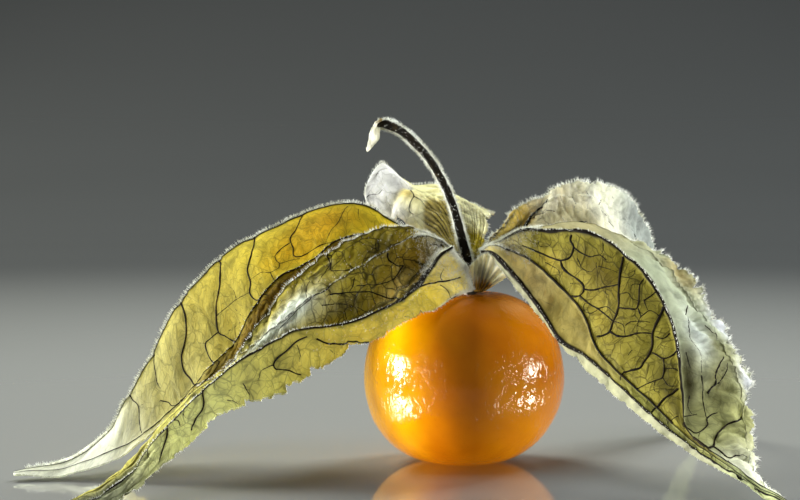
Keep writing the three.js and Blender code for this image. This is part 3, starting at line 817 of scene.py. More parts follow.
left_back_lines = [   # side by side, each from the foot to the tip, in mm
    [(-0.9, 1.1, 17.2), (-2.4, 2.1, 17.4), (-4.2, 3.6, 17.0), (-7, 6.4, 16.9), (-11, 8.8, 15.9),
     (-16, 9.6, 13.2), (-21, 8.4, 9.4), (-25.6, 5.0, 5.4), (-29.6, 0.2, 2.6), (-32.2, -5.0, 1.5),
     (-36.4, -8.6, 0.9)],
    [(-0.9, 1.0, 17.4), (-2.3, 1.9, 17.9), (-4.3, 3.2, 18.3), (-7.2, 5.2, 19.8), (-11, 6.6, 19.4),
     (-16, 6.8, 17.4), (-21, 5.4, 14.0), (-25.2, 2.4, 9.0), (-28.4, -1.8, 4.8), (-32, -6.0, 1.9),
     (-36.5, -8.9, 0.9)],
    [(-0.9, 0.8, 17.5), (-2.2, 1.4, 18.3), (-3.4, 2.1, 18.9), (-5.4, 3.0, 19.9), (-8.0, 3.7, 21.4),
     (-9.8, 4.0, 21.8), (-14.0, 3.8, 20.8), (-18.3, 3.0, 18.8), (-21.0, 2.0, 17.0),
     (-24.2, 0.0, 13.3), (-26.0, -2.5, 9.7), (-28.0, -5.0, 6.4), (-29.3, -6.4, 3.7),
     (-31.8, -7.5, 1.8), (-36.6, -9.2, 0.9)],
    [(-0.9, 0.6, 17.5), (-2.5, 0.9, 18.3), (-6, 1.0, 19.4), (-10.3, 0.5, 19.0),
     (-12.7, -1.0, 17.4), (-16.2, -2.8, 15.4), (-18.9, -4.6, 11.1), (-20.9, -5.8, 8.7),
     (-23.8, -6.8, 5.8), (-27.0, -8.0, 3.2), (-31, -8.6, 1.5), (-36.6, -9.5, 0.85)],
    [(-0.9, 0.4, 17.3), (-2.6, 0.4, 17.7), (-5.4, 0.4, 18.0), (-10.4, -1.6, 16.6),
     (-14.1, -3.5, 14.2), (-16.8, -5.0, 11.9), (-19.7, -6.5, 8.9), (-22.5, -7.5, 6.5),
     (-25.4, -8.5, 4.0), (-28.0, -9.2, 1.9), (-31, -9.6, 0.95), (-33.4, -9.8, 0.7),
     (-36.5, -9.8, 0.8)],
]
left_back_veins = paths([
    (1.00, (389, 458), (398, 558), (415, 588), (427, 603), (433, 630), (443, 642), (416, 753),
     (405, 811)),
    (0.45, (405, 586), (389, 602), (368, 620)),
    (0.80, (297, 493), (311, 560), (329, 587), (328, 614), (330, 638), (317, 650), (292, 648),
     (261, 663), (215, 763)),
    (0.60, (331, 598), (353, 608), (366, 619), (361, 643), (340, 648), (320, 656)),
    (0.55, (361, 643), (367, 656), (385, 652), (400, 635), (429, 623)),
    (0.50, (385, 652), (383, 682), (372, 790)),
    (0.55, (214, 528), (224, 587), (229, 607), (244, 629), (261, 663)),
    (0.40, (224, 587), (213, 624), (205, 660)),
    (0.45, (195, 545), (190, 599), (179, 630)),
    (0.40, (158, 458), (170, 540), (185, 598)),
    (1.05, (465, 463), (468, 526), (491, 571), (517, 592), (533, 611), (542, 630), (534, 650),
     (518, 707)),
    (0.75, (542, 630), (562, 625), (575, 623), (581, 641), (580, 682), (564, 797)),
    (0.40, (575, 623), (591, 604), (605, 591)),
    (0.60, (528, 605), (505, 611), (479, 620), (443, 642)),
    (0.45, (475, 620), (472, 603), (476, 586)),
    (1.00, (566, 463), (574, 542), (592, 572), (610, 586), (628, 595), (639, 617), (635, 651),
     (617, 833), (588, 1000)),
    (0.60, (564, 797), (579, 896), (588, 1000)),
    (0.80, (617, 833), (626, 925), (647, 881), (672, 729), (689, 673), (693, 649), (706, 624)),
    (0.70, (673, 484), (688, 557), (696, 584), (695, 605)),
    (0.70, (760, 458), (757, 538), (750, 583), (757, 613), (761, 648), (760, 683)),
    (0.35, (748, 586), (735, 595), (723, 614)),
    (0.35, (620, 520), (625, 550), (636, 573), (623, 586)),
    (0.35, (526, 487), (532, 543), (556, 574), (569, 597)),
    (0.40, (492, 665), (519, 650), (534, 645)),
    (0.35, (311, 602), (293, 592), (286, 571), (273, 559)),
    (0.35, (489, 627), (484, 651), (471, 723)),
    (0.35, (706, 624), (726, 630), (742, 645)),
])
left_back, top, normal, columns = husk_sheet(
    "husk_sheet_left_back", left_back_lines, cells=[22, 22, 26, 26], rows=240,
    ribs=[(0.05, 0.10, 0.3), (0.06, 0.10, 0.6), (0.20, 0.22, 1.0), (0.14, 0.13, 1.0),
          (0.05, 0.08, 0.2)],
    tear=(0.10, 0.05), colours=left_back_colours, crumple=left_back_crumple, seed=1,
    veins=left_back_veins)
lay_veins("veins_left_back", top, normal, left_back_veins, 0.095)
dress(left_back, "golden_husk", cells_per_mm=0.25, see_through=0.62, vein_height=0.09)
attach(left_back, "root")
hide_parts("husk_lobe_left_back")
draw = random.Random(11)
seeds = lines_down(top, normal, draw, (columns[2], 36, 0.44, 0.02, 0.98),
                   (columns[3], 3, 0.3, 0.02, 0.6), (columns[4], 12, 0.3, 0.2, 0.99, 1),
                   (0, 5, 0.3, 0.1, 0.99, -1))
grow_down("down_left_back", seeds, 0.030)
seeds = face_down(top, normal, draw, 900, 0.32, 0.0, 0.12, 0.4)
grow_down("fuzz_left_back", seeds, 0.013)


# Left front lobe: dry papery husk, grown from the cup, that lies before the left back one. It
# has a sharp front ridge with a deep fold behind it, a smooth panel below the ridge, and a
# torn lower edge.
def left_front_colours(u, s, x, y):
    speck = smooth(0.25, 0.8, ripple(x, y, 28, 1.1)) * smooth(-0.2, 0.5, ripple(x, y, 29, 3.0))
    front = smooth(0.585, 0.61, s)
    ink = (0.95 - 0.68 * front * (1 - 0.3 * smooth(0.3, 0.5, u)) - 0.4 * smooth(0.6, 0.9, u)
           * (1 - front))
    # The net of veins fades under the painted highlight below.
    ink = ink - 0.6 * patch(u, s, 0.42, 0.20, 0.12, 0.14)
    return tinted(u, "#b4a730", [
        ("#97801c", patch(u, s, 0.10, 0.35, 0.10, 0.25)),
        ("#c2b430", smooth(0.20, 0.34, u)),
        ("#e6dfa0", 0.55 * speck),
        ("#7f6c18", patch(u, s, 0.30, 0.52, 0.14, 0.07)),
        ("#5c5010", 0.8 * patch(u, s, 0.17, 0.15, 0.05, 0.08)),
        ("#62561a", 0.8 * patch(u, s, 0.28, 0.31, 0.07, 0.05)),
        # Painted highlight: a greenish-white patch on the panel behind the ridge.
        ("#e2ead8", np.minimum(1, 1.3 * patch(u, s, 0.40, 0.19, 0.075, 0.10))),
        ("#e6eedc", patch(u, s, 0.47, 0.25, 0.06, 0.06)),
        ("#7f7a34", patch(u, s, 0.50, 0.01, 0.06, 0.09)),
        ("#eadc58", front * smooth(0.28, 0.10, u)),
        ("#e2d45e", front * smooth(0.08, 0.26, u)),
        ("#e0da74", front * smooth(0.32, 0.5, u)),
        ("#f2f4a8", smooth(0.46, 0.66, u) * (0.4 + 0.6 * front)),
        ("#a2a684", smooth(0.70, 0.90, u) * smooth(0.35, 0.6, s)),
        ("#f4e890", patch(u, s, 0.16, 0.39, 0.05, 0.05)),
        # Painted light: the front panel's apex is painted pale yellow, as light from above and
        # behind falls on it.
        ("#fff6a4", front * smooth(0.12, 0.03, u)),
        ("#f0f2e2", smooth(0.965, 0.99, s)),
        # Painted shadow: a near-black band on the panel just behind the front ridge, in the fold's
        # shade.
        ("#070502", smooth(0.45, 0.54, s) * (1 - front) * smooth(0.01, 0.05, u)
         * smooth(0.38, 0.26, u)),
        ("#fbfbf0", smooth(0.016, 0.004, u) * front),
        ("#cfc9a4", smooth(0.09, 0.02, u) * smooth(0.55, 0.30, s))], ink)


def left_front_crumple(u, s, x, y):
    fold = smooth(0.6, 0.5, s) * smooth(0.7, 0.55, u)
    end = smooth(0.7, 0.85, u)
    return (0.10 * ripple(x, y, 21, 5.0) + 0.14 * fold * ripple(x, y, 22, 1.8)
            + 0.06 * fold * ripple(x, y, 23, 0.8) + 0.04 * ripple(x, y, 24, 1.5)
            + 0.16 * end * ripple(x * 0.5, y * 2, 25, 1.6))


left_front_lines = [
    [(-1.0, -0.5, 17.9), (-2.3, -0.3, 18.9), (-3.7, -0.4, 19.7), (-5.5, -0.9, 20.1),
     (-8.4, -2.0, 19.5), (-11.3, -3.5, 18.1), (-14.5, -5.5, 15.4), (-16.8, -8.0, 12.3),
     (-18.6, -10.6, 9.8), (-21.2, -12.6, 7.5), (-24.4, -16.4, 4.6), (-26.8, -20.2, 2.3),
     (-29.9, -24.4, 0.95)],
    [(-1.0, -1.1, 18.0), (-2.3, -1.0, 19.0), (-3.7, -1.2, 19.3), (-5.5, -2.1, 18.8),
     (-8.0, -4.0, 17.3), (-10.8, -6.0, 15.7), (-13.5, -8.0, 14.0), (-15.8, -9.4, 12.1),
     (-18.5, -11.6, 9.8), (-21.4, -13.7, 7.8), (-24.3, -17.3, 5.0), (-26.6, -20.9, 2.7),
     (-30.0, -24.9, 1.0)],
    [(-1.0, -1.7, 18.1), (-2.1, -2.0, 18.1), (-3.1, -2.9, 17.0), (-4.6, -4.3, 15.8),
     (-6.2, -6.0, 14.3), (-9.2, -7.5, 12.8), (-11.9, -8.6, 12.0), (-14.4, -10.0, 11.5),
     (-17.6, -11.9, 10.0), (-20.9, -14.3, 8.1), (-24.0, -17.9, 5.2), (-26.4, -21.5, 2.7),
     (-30.1, -25.3, 0.95)],
    [(-1.1, -2.8, 18.4), (-2.0, -3.1, 17.8), (-2.9, -4.3, 16.6), (-4.5, -6.4, 14.8),
     (-7.0, -8.1, 13.5), (-9.6, -9.1, 12.6), (-13.8, -10.3, 12.0), (-17.0, -11.9, 10.5),
     (-20.6, -14.9, 8.0), (-23.7, -18.5, 5.1), (-25.6, -21.6, 2.7), (-27.2, -23.5, 1.7),
     (-30.1, -25.7, 0.9)],
    [(0.15, -2.9, 16.8), (-0.9, -3.5, 16.4), (-2.1, -4.8, 15.9), (-3.8, -6.6, 14.9),
     (-6.2, -8.9, 12.8), (-11.0, -10.9, 11.2), (-15.6, -13.1, 9.2), (-19.8, -15.9, 6.9),
     (-22.9, -19.7, 4.2), (-25.2, -22.6, 2.2), (-27.6, -24.6, 1.2), (-30.1, -26.0, 0.85)],
    [(0.75, -2.9, 14.9), (0.1, -3.5, 14.8), (-1.0, -4.7, 14.35), (-3.5, -7.1, 12.7),
     (-6.4, -9.2, 11.7), (-9.9, -11.1, 10.0), (-12.9, -13.2, 8.1), (-15.8, -15.2, 6.7),
     (-18.4, -16.4, 6.2), (-21.5, -19.3, 3.8), (-24.1, -22.3, 1.9), (-26.6, -25.0, 1.0),
     (-30.0, -26.3, 0.8)],
]
left_front_veins = paths([
    (1.10, (123, 613), (102, 685), (64, 838), (20, 855)),
    (0.60, (70, 827), (65, 709), (43, 677)),
    (0.55, (81, 846), (69, 908), (64, 1000), (44, 982)),
    (0.40, (64, 1000), (42, 912)),
    (1.05, (372, 678), (364, 715), (341, 850), (307, 933), (283, 1000)),
    (0.95, (385, 655), (412, 664), (431, 678), (460, 692), (473, 712), (469, 815), (451, 876),
     (437, 926)),
    (0.50, (412, 677), (419, 725), (428, 844)),
    (0.50, (473, 712), (500, 712), (518, 813)),
    (0.65, (545, 721), (546, 841), (546, 898)),
    (0.55, (591, 843), (580, 892), (575, 941)),
    (0.90, (615, 556), (630, 672), (643, 704), (663, 723), (685, 853)),
    (0.70, (690, 556), (702, 556), (694, 631), (698, 671)),
    (0.45, (664, 556), (678, 637), (673, 687), (658, 674)),
    (0.85, (719, 556), (729, 641), (752, 688), (770, 744), (777, 875)),
    (0.50, (778, 556), (790, 632), (804, 679)),
    (0.45, (585, 576), (595, 634), (597, 665)),
    (0.40, (195, 900), (162, 1000), (143, 1000)),
    (0.40, (469, 594), (507, 646), (537, 668)),
    (0.40, (364, 861), (353, 941), (333, 1000)),
    (0.80, (269, 0), (271, 77), (277, 107), (253, 147), (237, 157)),
    (0.55, (270, 81), (290, 98), (314, 120)),
    (0.90, (149, 228), (152, 250), (142, 279), (123, 294)),
    (0.70, (123, 294), (156, 303), (199, 287), (244, 266)),
    (0.60, (240, 242), (251, 261), (263, 272), (256, 284)),
    (0.85, (303, 250), (263, 272), (213, 301), (177, 397), (173, 556)),
    (0.60, (296, 215), (329, 194), (362, 224), (395, 227), (427, 255)),
    (0.50, (329, 267), (290, 284), (256, 318), (220, 478)),
    (0.45, (287, 306), (290, 346), (286, 422)),
    (0.50, (170, 99), (170, 145), (156, 151)),
    (0.45, (224, 220), (205, 252), (192, 273)),
    (0.50, (73, 328), (107, 355), (148, 444)),
    (0.45, (325, 88), (343, 108), (355, 214)),
])
left_front, top, normal, columns = husk_sheet(
    "husk_sheet_left_front", left_front_lines, cells=[18, 16, 16, 20, 20], rows=250,
    ribs=[(0.14, 0.12, 0.8), (0.12, 0.10, 0.8), (0.0, 0.25, 0.7), (0.20, 0.20, 1.0),
          (0.02, 0.10, 0.0), (0.05, 0.06, 0.0)],
    tear=(0.0, 0.10), colours=left_front_colours, crumple=left_front_crumple, seed=2,
    veins=left_front_veins)
lay_veins("veins_left_front", top, normal, left_front_veins, 0.098)
dress(left_front, "olive_husk", cells_per_mm=0.27, see_through=0.54, vein_height=0.09,
      woolly=0.35)
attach(left_front, "root")
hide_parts("husk_lobe_left_front")
draw = random.Random(12)
seeds = lines_down(top, normal, draw, (0, 22, 0.38, 0.0, 0.99, -1),
                   (columns[1], 9, 0.28, 0.0, 0.6), (columns[3], 16, 0.28, 0.24, 0.99),
                   (columns[5], 14, 0.26, 0.0, 0.99, 1))
ridge = columns[3]
seeds += end_down(top[0, ridge:], top[3, ridge:], 0.5 * normal[2, ridge:], draw, 4, 0.24)
grow_down("down_left_front", seeds, 0.022)
seeds = face_down(top, normal, draw, 3400, 0.36, 0.0, 0.09, 0, 0.50)
seeds += face_down(top, normal, draw, 900, 0.40, 0.0, 0.05, 0.62)
seeds += face_down(top, normal, draw, 900, 0.26, 0.05, 0.4)
grow_down("fuzz_left_front", seeds, 0.016)


# Right front lobe: dry papery husk, grown from the cup. A dark netted panel between two thick
# ribs, a thin torn strip under the lower rib, and a crumpled pale panel outside the upper one.
def right_front_colours(u, s, x, y):
    speck = smooth(0.35, 0.9, ripple(x, y, 38, 1.3)) * smooth(-0.2, 0.5, ripple(x, y, 39, 3.2))
    inner = smooth(0.395, 0.41, s)
    outer = smooth(0.595, 0.61, s)
    smooth_strip = smooth(0.19, 0.21, s) * smooth(0.40, 0.385, s)
    ink = 0.95 - 0.78 * smooth_strip * smooth(0.65, 0.5, u) - 0.85 * smooth(0.2, 0.18, s)
    ink = (ink - outer * (0.60 - 0.25 * smooth(0.55, 0.66, u)) - 0.3 * smooth(0.78, 0.95, u)
           - 0.28 * inner)
    return tinted(u, "#cccca8", [
        ("#bdae60", smooth(0.19, 0.21, s)),
        # Painted light: paler near the foot, where the lobe lies in shade.
        ("#f4e8a0", smooth(0.19, 0.21, s) * smooth(0.26, 0.16, u)),
        ("#9c9a47", smooth(0.2, 0.22, s) * smooth(0.35, 0.6, u)),
        ("#bcbc70", smooth(0.2, 0.22, s) * smooth(0.58, 0.7, u)),
        ("#b0a642", inner),
        ("#74660f", inner * patch(u, s, 0.32, 0.51, 0.12, 0.05)),
        ("#b5a644", inner * patch(u, s, 0.36, 0.45, 0.12, 0.04)),
        ("#79712a", inner * smooth(0.5, 0.62, u) * smooth(0.45, 0.5, s) * smooth(0.6, 0.52, s)),
        ("#3e340e", inner * 0.5 * speck * smooth(0.5, 0.3, u)),
        ("#bcc4a8", outer),
        ("#c6bc8a", outer * patch(u, s, 0.42, 0.86, 0.06, 0.06)),
        ("#c2c486", outer * smooth(0.54, 0.64, u) * smooth(0.97, 0.9, s)),
        ("#f8fcff", outer
         * (patch(u, s, 0.555, 0.885, 0.05, 0.05) + patch(u, s, 0.68, 0.87, 0.05, 0.06))),
        ("#e6eee6", outer * patch(u, s, 0.58, 0.71, 0.07, 0.05)),
        ("#78784a", outer * 0.9 * patch(u, s, 0.60, 0.77, 0.03, 0.03)),
        ("#7c7a40", outer * 0.9 * patch(u, s, 0.67, 0.73, 0.05, 0.035)),
        ("#fafce8", smooth(0.78, 0.9, u) * smooth(0.55, 0.6, s)),
        ("#e4ecb0", smooth(0.78, 0.9, u) * (1 - outer)),
        ("#3c3806", patch(u, s, 0.66, 0.635, 0.07, 0.03)),
        ("#dcc858", 0.7 * patch(u, s, 0.18, 0.455, 0.06, 0.04)),
        ("#d0c690", smooth(0.14, 0.05, u) * smooth(0.38, 0.44, s) * smooth(0.75, 0.62, s)),
        ("#bdb688", outer * smooth(0.40, 0.22, u)),
        ("#f4f5ea", smooth(0.97, 0.99, s) + smooth(0.03, 0.01, s))], ink)


def right_front_crumple(u, s, x, y):
    outer = smooth(0.62, 0.75, s) * smooth(0.2, 0.35, u)
    strip = smooth(0.2, 0.12, s)
    return (0.14 * ripple(x, y, 31, 6.0) + 0.04 * ripple(x, y, 32, 1.6)
            + 0.26 * outer * ripple(x, y, 33, 2.4) + 0.12 * outer * ripple(x, y, 34, 0.9)
            + 0.12 * strip * ripple(x, y, 35, 1.4))


right_front_lines = [
    [(1.5, -2.3, 17.8), (1.95, -2.65, 17.8), (3.3, -4.1, 16.3), (5.1, -5.6, 14.0),
     (7.8, -7.4, 10.9), (10.0, -9.5, 8.5), (12.7, -12.7, 6.2), (16.0, -17.3, 3.8),
     (20.1, -22.0, 1.9), (22.6, -24.0, 0.9)],
    [(1.5, -2.3, 18.0), (2.3, -2.9, 17.9), (4.0, -4.5, 16.3), (6.1, -6.5, 13.7), (7.7, -8.2, 11.3),
     (9.7, -9.7, 10.1), (12.7, -13.0, 7.4), (16.1, -17.0, 4.6), (19.9, -21.6, 2.4),
     (22.8, -23.9, 1.1)],
    [(1.5, -1.7, 18.0), (2.5, -2.1, 18.5), (5.0, -3.0, 17.7), (7.5, -5.2, 15.7), (9.4, -7.8, 13.5),
     (10.5, -10.2, 10.6), (14.1, -14.0, 7.1), (16.4, -16.9, 4.9), (20.1, -21.3, 2.6),
     (22.9, -23.8, 1.2)],
    [(1.6, -1.0, 17.9), (3.0, -1.3, 18.8), (4.9, -1.5, 19.7), (7.3, -2.4, 19.8),
     (10.5, -4.4, 19.6), (12.9, -6.5, 18.1), (14.7, -8.5, 16.1), (16.2, -11.2, 12.8),
     (16.5, -14.5, 8.0), (16.6, -16.7, 5.3), (20.3, -21.0, 2.8), (23.0, -23.7, 1.2)],
    [(1.6, -0.6, 17.8), (3.1, -0.8, 18.8), (5.0, -0.8, 19.8), (7.2, -1.2, 20.2), (9.1, -1.2, 20.5),
     (11.5, -1.6, 20.0), (14.1, -2.5, 18.9), (16.8, -4.5, 16.6), (19.2, -8.0, 13.0),
     (20.7, -10.5, 10.4), (21.4, -13.5, 7.5), (21.2, -17.0, 4.4), (21.6, -21.0, 2.3),
     (23.1, -23.5, 1.1)],
    [(1.6, -0.3, 17.6), (3.3, -0.4, 18.4), (5.2, -0.4, 19.6), (7.2, -0.7, 20.0), (9.1, -0.7, 20.3),
     (11.5, -0.9, 19.8), (14.4, -0.5, 18.7), (17.0, -0.2, 18.0), (20.1, -2.4, 16.5),
     (20.8, -4.0, 15.0), (22.2, -7.0, 11.0), (23.3, -10.6, 7.8), (22.5, -14.3, 4.8),
     (21.9, -19.0, 2.2), (23.2, -23.3, 0.95)],
]
right_front_veins = paths([
    (1.00, (202, 556), (206, 521), (219, 499), (220, 467), (201, 448), (181, 444), (152, 440),
     (118, 438), (97, 447)),
    (0.75, (219, 499), (240, 491), (267, 494), (287, 513), (306, 512)),
    (0.50, (278, 562), (287, 532), (287, 513)),
    (1.00, (201, 448), (213, 431), (235, 425), (267, 427), (287, 424), (294, 414), (293, 396),
     (271, 358)),
    (0.90, (291, 418), (313, 435), (335, 461), (354, 481), (366, 494)),
    (1.15, (332, 573), (346, 525), (361, 501), (380, 485), (401, 473), (412, 461), (417, 447),
     (427, 432), (419, 413), (404, 385)),
    (0.85, (295, 393), (324, 402), (354, 421), (387, 438), (414, 448)),
    (0.60, (354, 421), (375, 447), (409, 460)),
    (0.50, (357, 419), (345, 390), (325, 366), (316, 386), (328, 408)),
    (0.95, (427, 432), (451, 442), (466, 455), (479, 474), (505, 502)),
    (0.50, (414, 448), (430, 457), (443, 462), (463, 454)),
    (0.50, (447, 465), (450, 476), (466, 493), (484, 510)),
    (0.80, (405, 471), (421, 483), (439, 500), (434, 509), (415, 527), (406, 539), (402, 568)),
    (0.50, (406, 539), (394, 519), (403, 506)),
    (0.50, (385, 485), (401, 502), (416, 503), (429, 512)),
    (0.60, (442, 503), (458, 501), (464, 524), (486, 541)),
    (0.70, (438, 524), (441, 546), (442, 575), (444, 612)),
    (0.50, (438, 524), (451, 521), (463, 519)),
    (0.50, (458, 501), (467, 484), (481, 475)),
    (1.20, (479, 582), (488, 545), (497, 517), (505, 502), (524, 489), (534, 470), (536, 451),
     (539, 437), (524, 408), (512, 378)),
    (0.70, (534, 558), (532, 524), (515, 505)),
    (0.95, (581, 583), (580, 543), (568, 504), (536, 481)),
    (0.70, (568, 504), (587, 496), (599, 478), (589, 451), (574, 413), (559, 347)),
    (0.60, (619, 569), (596, 511), (587, 496)),
    (0.50, (599, 478), (625, 489), (645, 534)),
    (1.05, (653, 547), (646, 495), (632, 430), (623, 292), (610, 185)),
    (0.50, (693, 468), (677, 401), (663, 222)),
    (0.45, (131, 494), (140, 468), (161, 487), (156, 523)),
    (0.40, (138, 447), (147, 424), (172, 419)),
    (0.45, (165, 410), (186, 414), (207, 414), (219, 395)),
    (0.40, (288, 490), (302, 474), (323, 453)),
    (0.50, (239, 473), (262, 458), (285, 463), (293, 478)),
    (0.45, (297, 486), (317, 496), (345, 509)),
    (0.50, (359, 510), (375, 523), (380, 539), (375, 559)),
    (0.40, (252, 402), (267, 414), (284, 428)),
    (0.40, (344, 461), (359, 454), (368, 442)),
    (0.40, (500, 433), (499, 447), (516, 458)),
    (0.45, (589, 451), (602, 427), (617, 443)),
    (0.70, (512, 378), (509, 246)),
    (0.40, (435, 326), (426, 232)),
    (0.30, (299, 210), (318, 225), (324, 250)),
    (0.30, (222, 214), (251, 241), (269, 269)),
    (1.05, (772, 612), (792, 612), (811, 679), (790, 707), (779, 724), (770, 740), (771, 759),
     (762, 803)),
    (0.90, (811, 679), (828, 681), (853, 686), (845, 724)),
    (0.50, (845, 724), (858, 771)),
    (0.90, (732, 615), (754, 654), (766, 665), (767, 689), (760, 703)),
    (0.70, (760, 703), (747, 706), (740, 716), (740, 726)),
    (0.60, (721, 642), (727, 672), (730, 690)),
    (0.85, (695, 712), (685, 720), (680, 728), (665, 728), (642, 747), (627, 768)),
    (0.60, (680, 733), (656, 764), (642, 773)),
    (0.60, (655, 702), (686, 702), (718, 704), (747, 706)),
    (0.50, (686, 669), (704, 665), (726, 678)),
    (0.50, (594, 666), (618, 672), (632, 677)),
    (0.50, (497, 736), (539, 708), (576, 693), (606, 706), (649, 703)),
    (0.50, (550, 761), (567, 779), (580, 850)),
    (0.55, (772, 612), (800, 612), (833, 612)),
    (0.45, (857, 660), (871, 612)),
    (0.40, (771, 678), (787, 645)),
    (0.95, (60, 355), (120, 338), (200, 331), (280, 327), (360, 332), (440, 326), (520, 331),
     (600, 328), (680, 332)),
])
right_front, top, normal, columns = husk_sheet(
    "husk_sheet_right_front", right_front_lines, cells=[14, 18, 28, 20, 18], rows=250,
    ribs=[(0.04, 0.06, 0.15), (0.20, 0.17, 1.0), (0.12, 0.11, 0.95), (0.24, 0.24, 1.0),
          (0.08, 0.09, 0.55), (0.04, 0.05, 0.1)],
    tear=(0.06, 0.16), colours=right_front_colours, crumple=right_front_crumple, seed=3,
    veins=right_front_veins)
lay_veins("veins_right_front", top, normal, right_front_veins)
dress(right_front, "netted_husk", cells_per_mm=0.30, see_through=0.50, vein_height=0.10)
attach(right_front, "root")
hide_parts("husk_lobe_right_front")
draw = random.Random(13)
seeds = lines_down(top, normal, draw, (columns[3], 10, 0.28, 0.0, 0.6),
                   (columns[1], 5, 0.22, 0.0, 0.9), (columns[5], 20, 0.45, 0.05, 0.99, 1),
                   (0, 6, 0.2, 0.05, 0.99, -1))
grow_down("down_right_front", seeds)
seeds = face_down(top, normal, draw, 3000, 0.36, 0.0, 0.13, 0.25)
grow_down("fuzz_right_front", seeds, 0.016)


# Right back lobe: dry papery husk, grown from the cup. It rises to a pale, wrinkled dome behind
# the right front one, then falls away.
def right_back_colours(u, s, x, y):
    streak = 0.5 + 0.5 * ripple(x, y * 0.3, 47, 3.0)
    fan = 0.5 + 0.5 * np.cos(2 * math.pi * 8 * s + 3 * np.sin(7 * s) + 9 * u)
    ink = 0.5 - 0.3 * smooth(0.15, 0.25, u)
    return tinted(u, "#f5f6e6", [
        ("#d8c88c", (0.15 + 0.4 * np.clip(streak, 0, 1)) * smooth(0.34, 0.22, u)),
        ("#d6c264", smooth(0.19, 0.12, u)),
        ("#84742c", smooth(0.08, 0.01, u)),
        ("#120c03", smooth(0.16, 0.08, u) * (1 - fan) ** 3),
        ("#5a4c14", np.minimum(1, 1.2 * patch(u, s, 0.165, 0.91, 0.05, 0.08))),
        ("#d8d4b0", smooth(0.70, 0.86, s) * smooth(0.34, 0.22, u)),
        ("#b4bbb4", smooth(0.34, 0.46, u)),
        ("#8c9274", smooth(0.54, 0.64, u))], ink)


def right_back_crumple(u, s, x, y):
    pinch = np.abs(ripple(x * 1.7 + 0.5 * y, y * 0.35, 41, 1.9))
    return (0.16 * ripple(x * 1.6, y * 0.5, 45, 2.6) + 0.14 * ripple(x, y, 43, 5.0)
            - 0.20 * (1 - pinch) ** 6 + 0.05 * ripple(x * 1.5, y, 42, 0.9))


right_back_lines = [
    [(1.5, 1.2, 17.5), (2.8, 2.1, 18.8), (4.4, 4.2, 19.4), (7, 8.6, 19.6), (11, 13, 18.4),
     (15.4, 16.6, 14.6), (18.8, 18.6, 9.6), (21.4, 18.8, 4.6), (23.4, 18.0, 1.1)],
    [(1.6, 1.0, 17.6), (2.5, 1.6, 19.0), (3.6, 2.3, 20.5), (4.8, 3.0, 21.5), (6.4, 3.7, 22.1),
     (9.0, 5.5, 23.5), (12.2, 7.0, 23.7), (15.5, 9.5, 21.9), (18.0, 13.0, 17.3),
     (20.0, 15.4, 12.0), (21.8, 16.6, 6.4), (23.4, 17.4, 1.1)],
    [(1.6, 0.6, 17.7), (3.0, 0.9, 18.8), (5.0, 1.3, 20.0), (6.2, 2.5, 21.3), (8.7, 4.0, 22.6),
     (11.3, 4.8, 22.4), (14.6, 7.4, 20.4), (17.4, 10.8, 16.4), (19.8, 13.8, 10.6),
     (21.8, 15.6, 5.4), (23.4, 16.9, 1.0)],
    [(1.6, 0.2, 17.5), (3.2, 0.3, 18.3), (5.0, 0.4, 19.2), (7.2, 0.7, 19.8), (9.1, 0.9, 20.0),
     (11.5, 1.2, 19.6), (14.1, 2.2, 18.4), (17, 5.2, 15.8), (19.8, 9.4, 10.8), (21.8, 13.2, 5.4),
     (23.3, 16.3, 0.9)],
]
right_back_veins = paths([
    (0.45, (339, 554), (322, 780), (328, 823), (341, 838), (347, 888)),
    (0.35, (259, 696), (257, 782), (240, 849)),
    (0.40, (427, 689), (462, 726), (377, 940), (344, 943)),
    (0.35, (228, 680), (233, 796)),
    (0.35, (294, 517), (296, 710), (278, 812)),
    (0.30, (368, 491), (390, 534), (406, 576)),
    (0.85, (164, 1000), (184, 1000), (214, 940), (250, 917), (272, 956), (299, 946)),
    (1.30, (20, 667), (60, 667), (100, 667), (140, 660), (170, 620), (200, 560)),
    (0.60, (120, 667), (160, 760), (200, 820)),
])
right_back, top, normal, columns = husk_sheet(
    "husk_sheet_right_back", right_back_lines, cells=[24, 24, 26], rows=220,
    ribs=[(0.05, 0.06, 0.0), (0.06, 0.09, 0.0), (0.10, 0.10, 0.0), (0.10, 0.10, 0.2)],
    tear=(0.08, 0.05), colours=right_back_colours, crumple=right_back_crumple, seed=4,
    veins=right_back_veins)
lay_veins("veins_right_back", top, normal, right_back_veins)
dress(right_back, "pale_husk", cells_per_mm=0.28, see_through=0.60, vein_height=0.07)
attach(right_back, "root")
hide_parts("husk_lobe_right_back")
draw = random.Random(14)
seeds = lines_down(top, normal, draw, (columns[1], 26, 0.50, 0.0, 0.95),
                   (columns[2], 9, 0.3, 0.0, 0.4), (0, 7, 0.3, 0.1, 0.99, -1),
                   (columns[3], 6, 0.25, 0.1, 0.99, 1))
grow_down("down_right_back", seeds)
seeds = face_down(top, normal, draw, 1200, 0.3, 0.0, 0.22, 0.2)
grow_down("fuzz_right_back", seeds, 0.013)


# Back lobe: short, dry and papery, with tight pleats at its foot, where it grew from the cup.
# It is torn off, and curled up at its left end.
def back_pleats(u, s):
    """Waves across the back lobe, from -1 to 1."""
    return np.cos(2 * math.pi * s * 23 + 1.4 * np.sin(9 * s) + 2 * u)


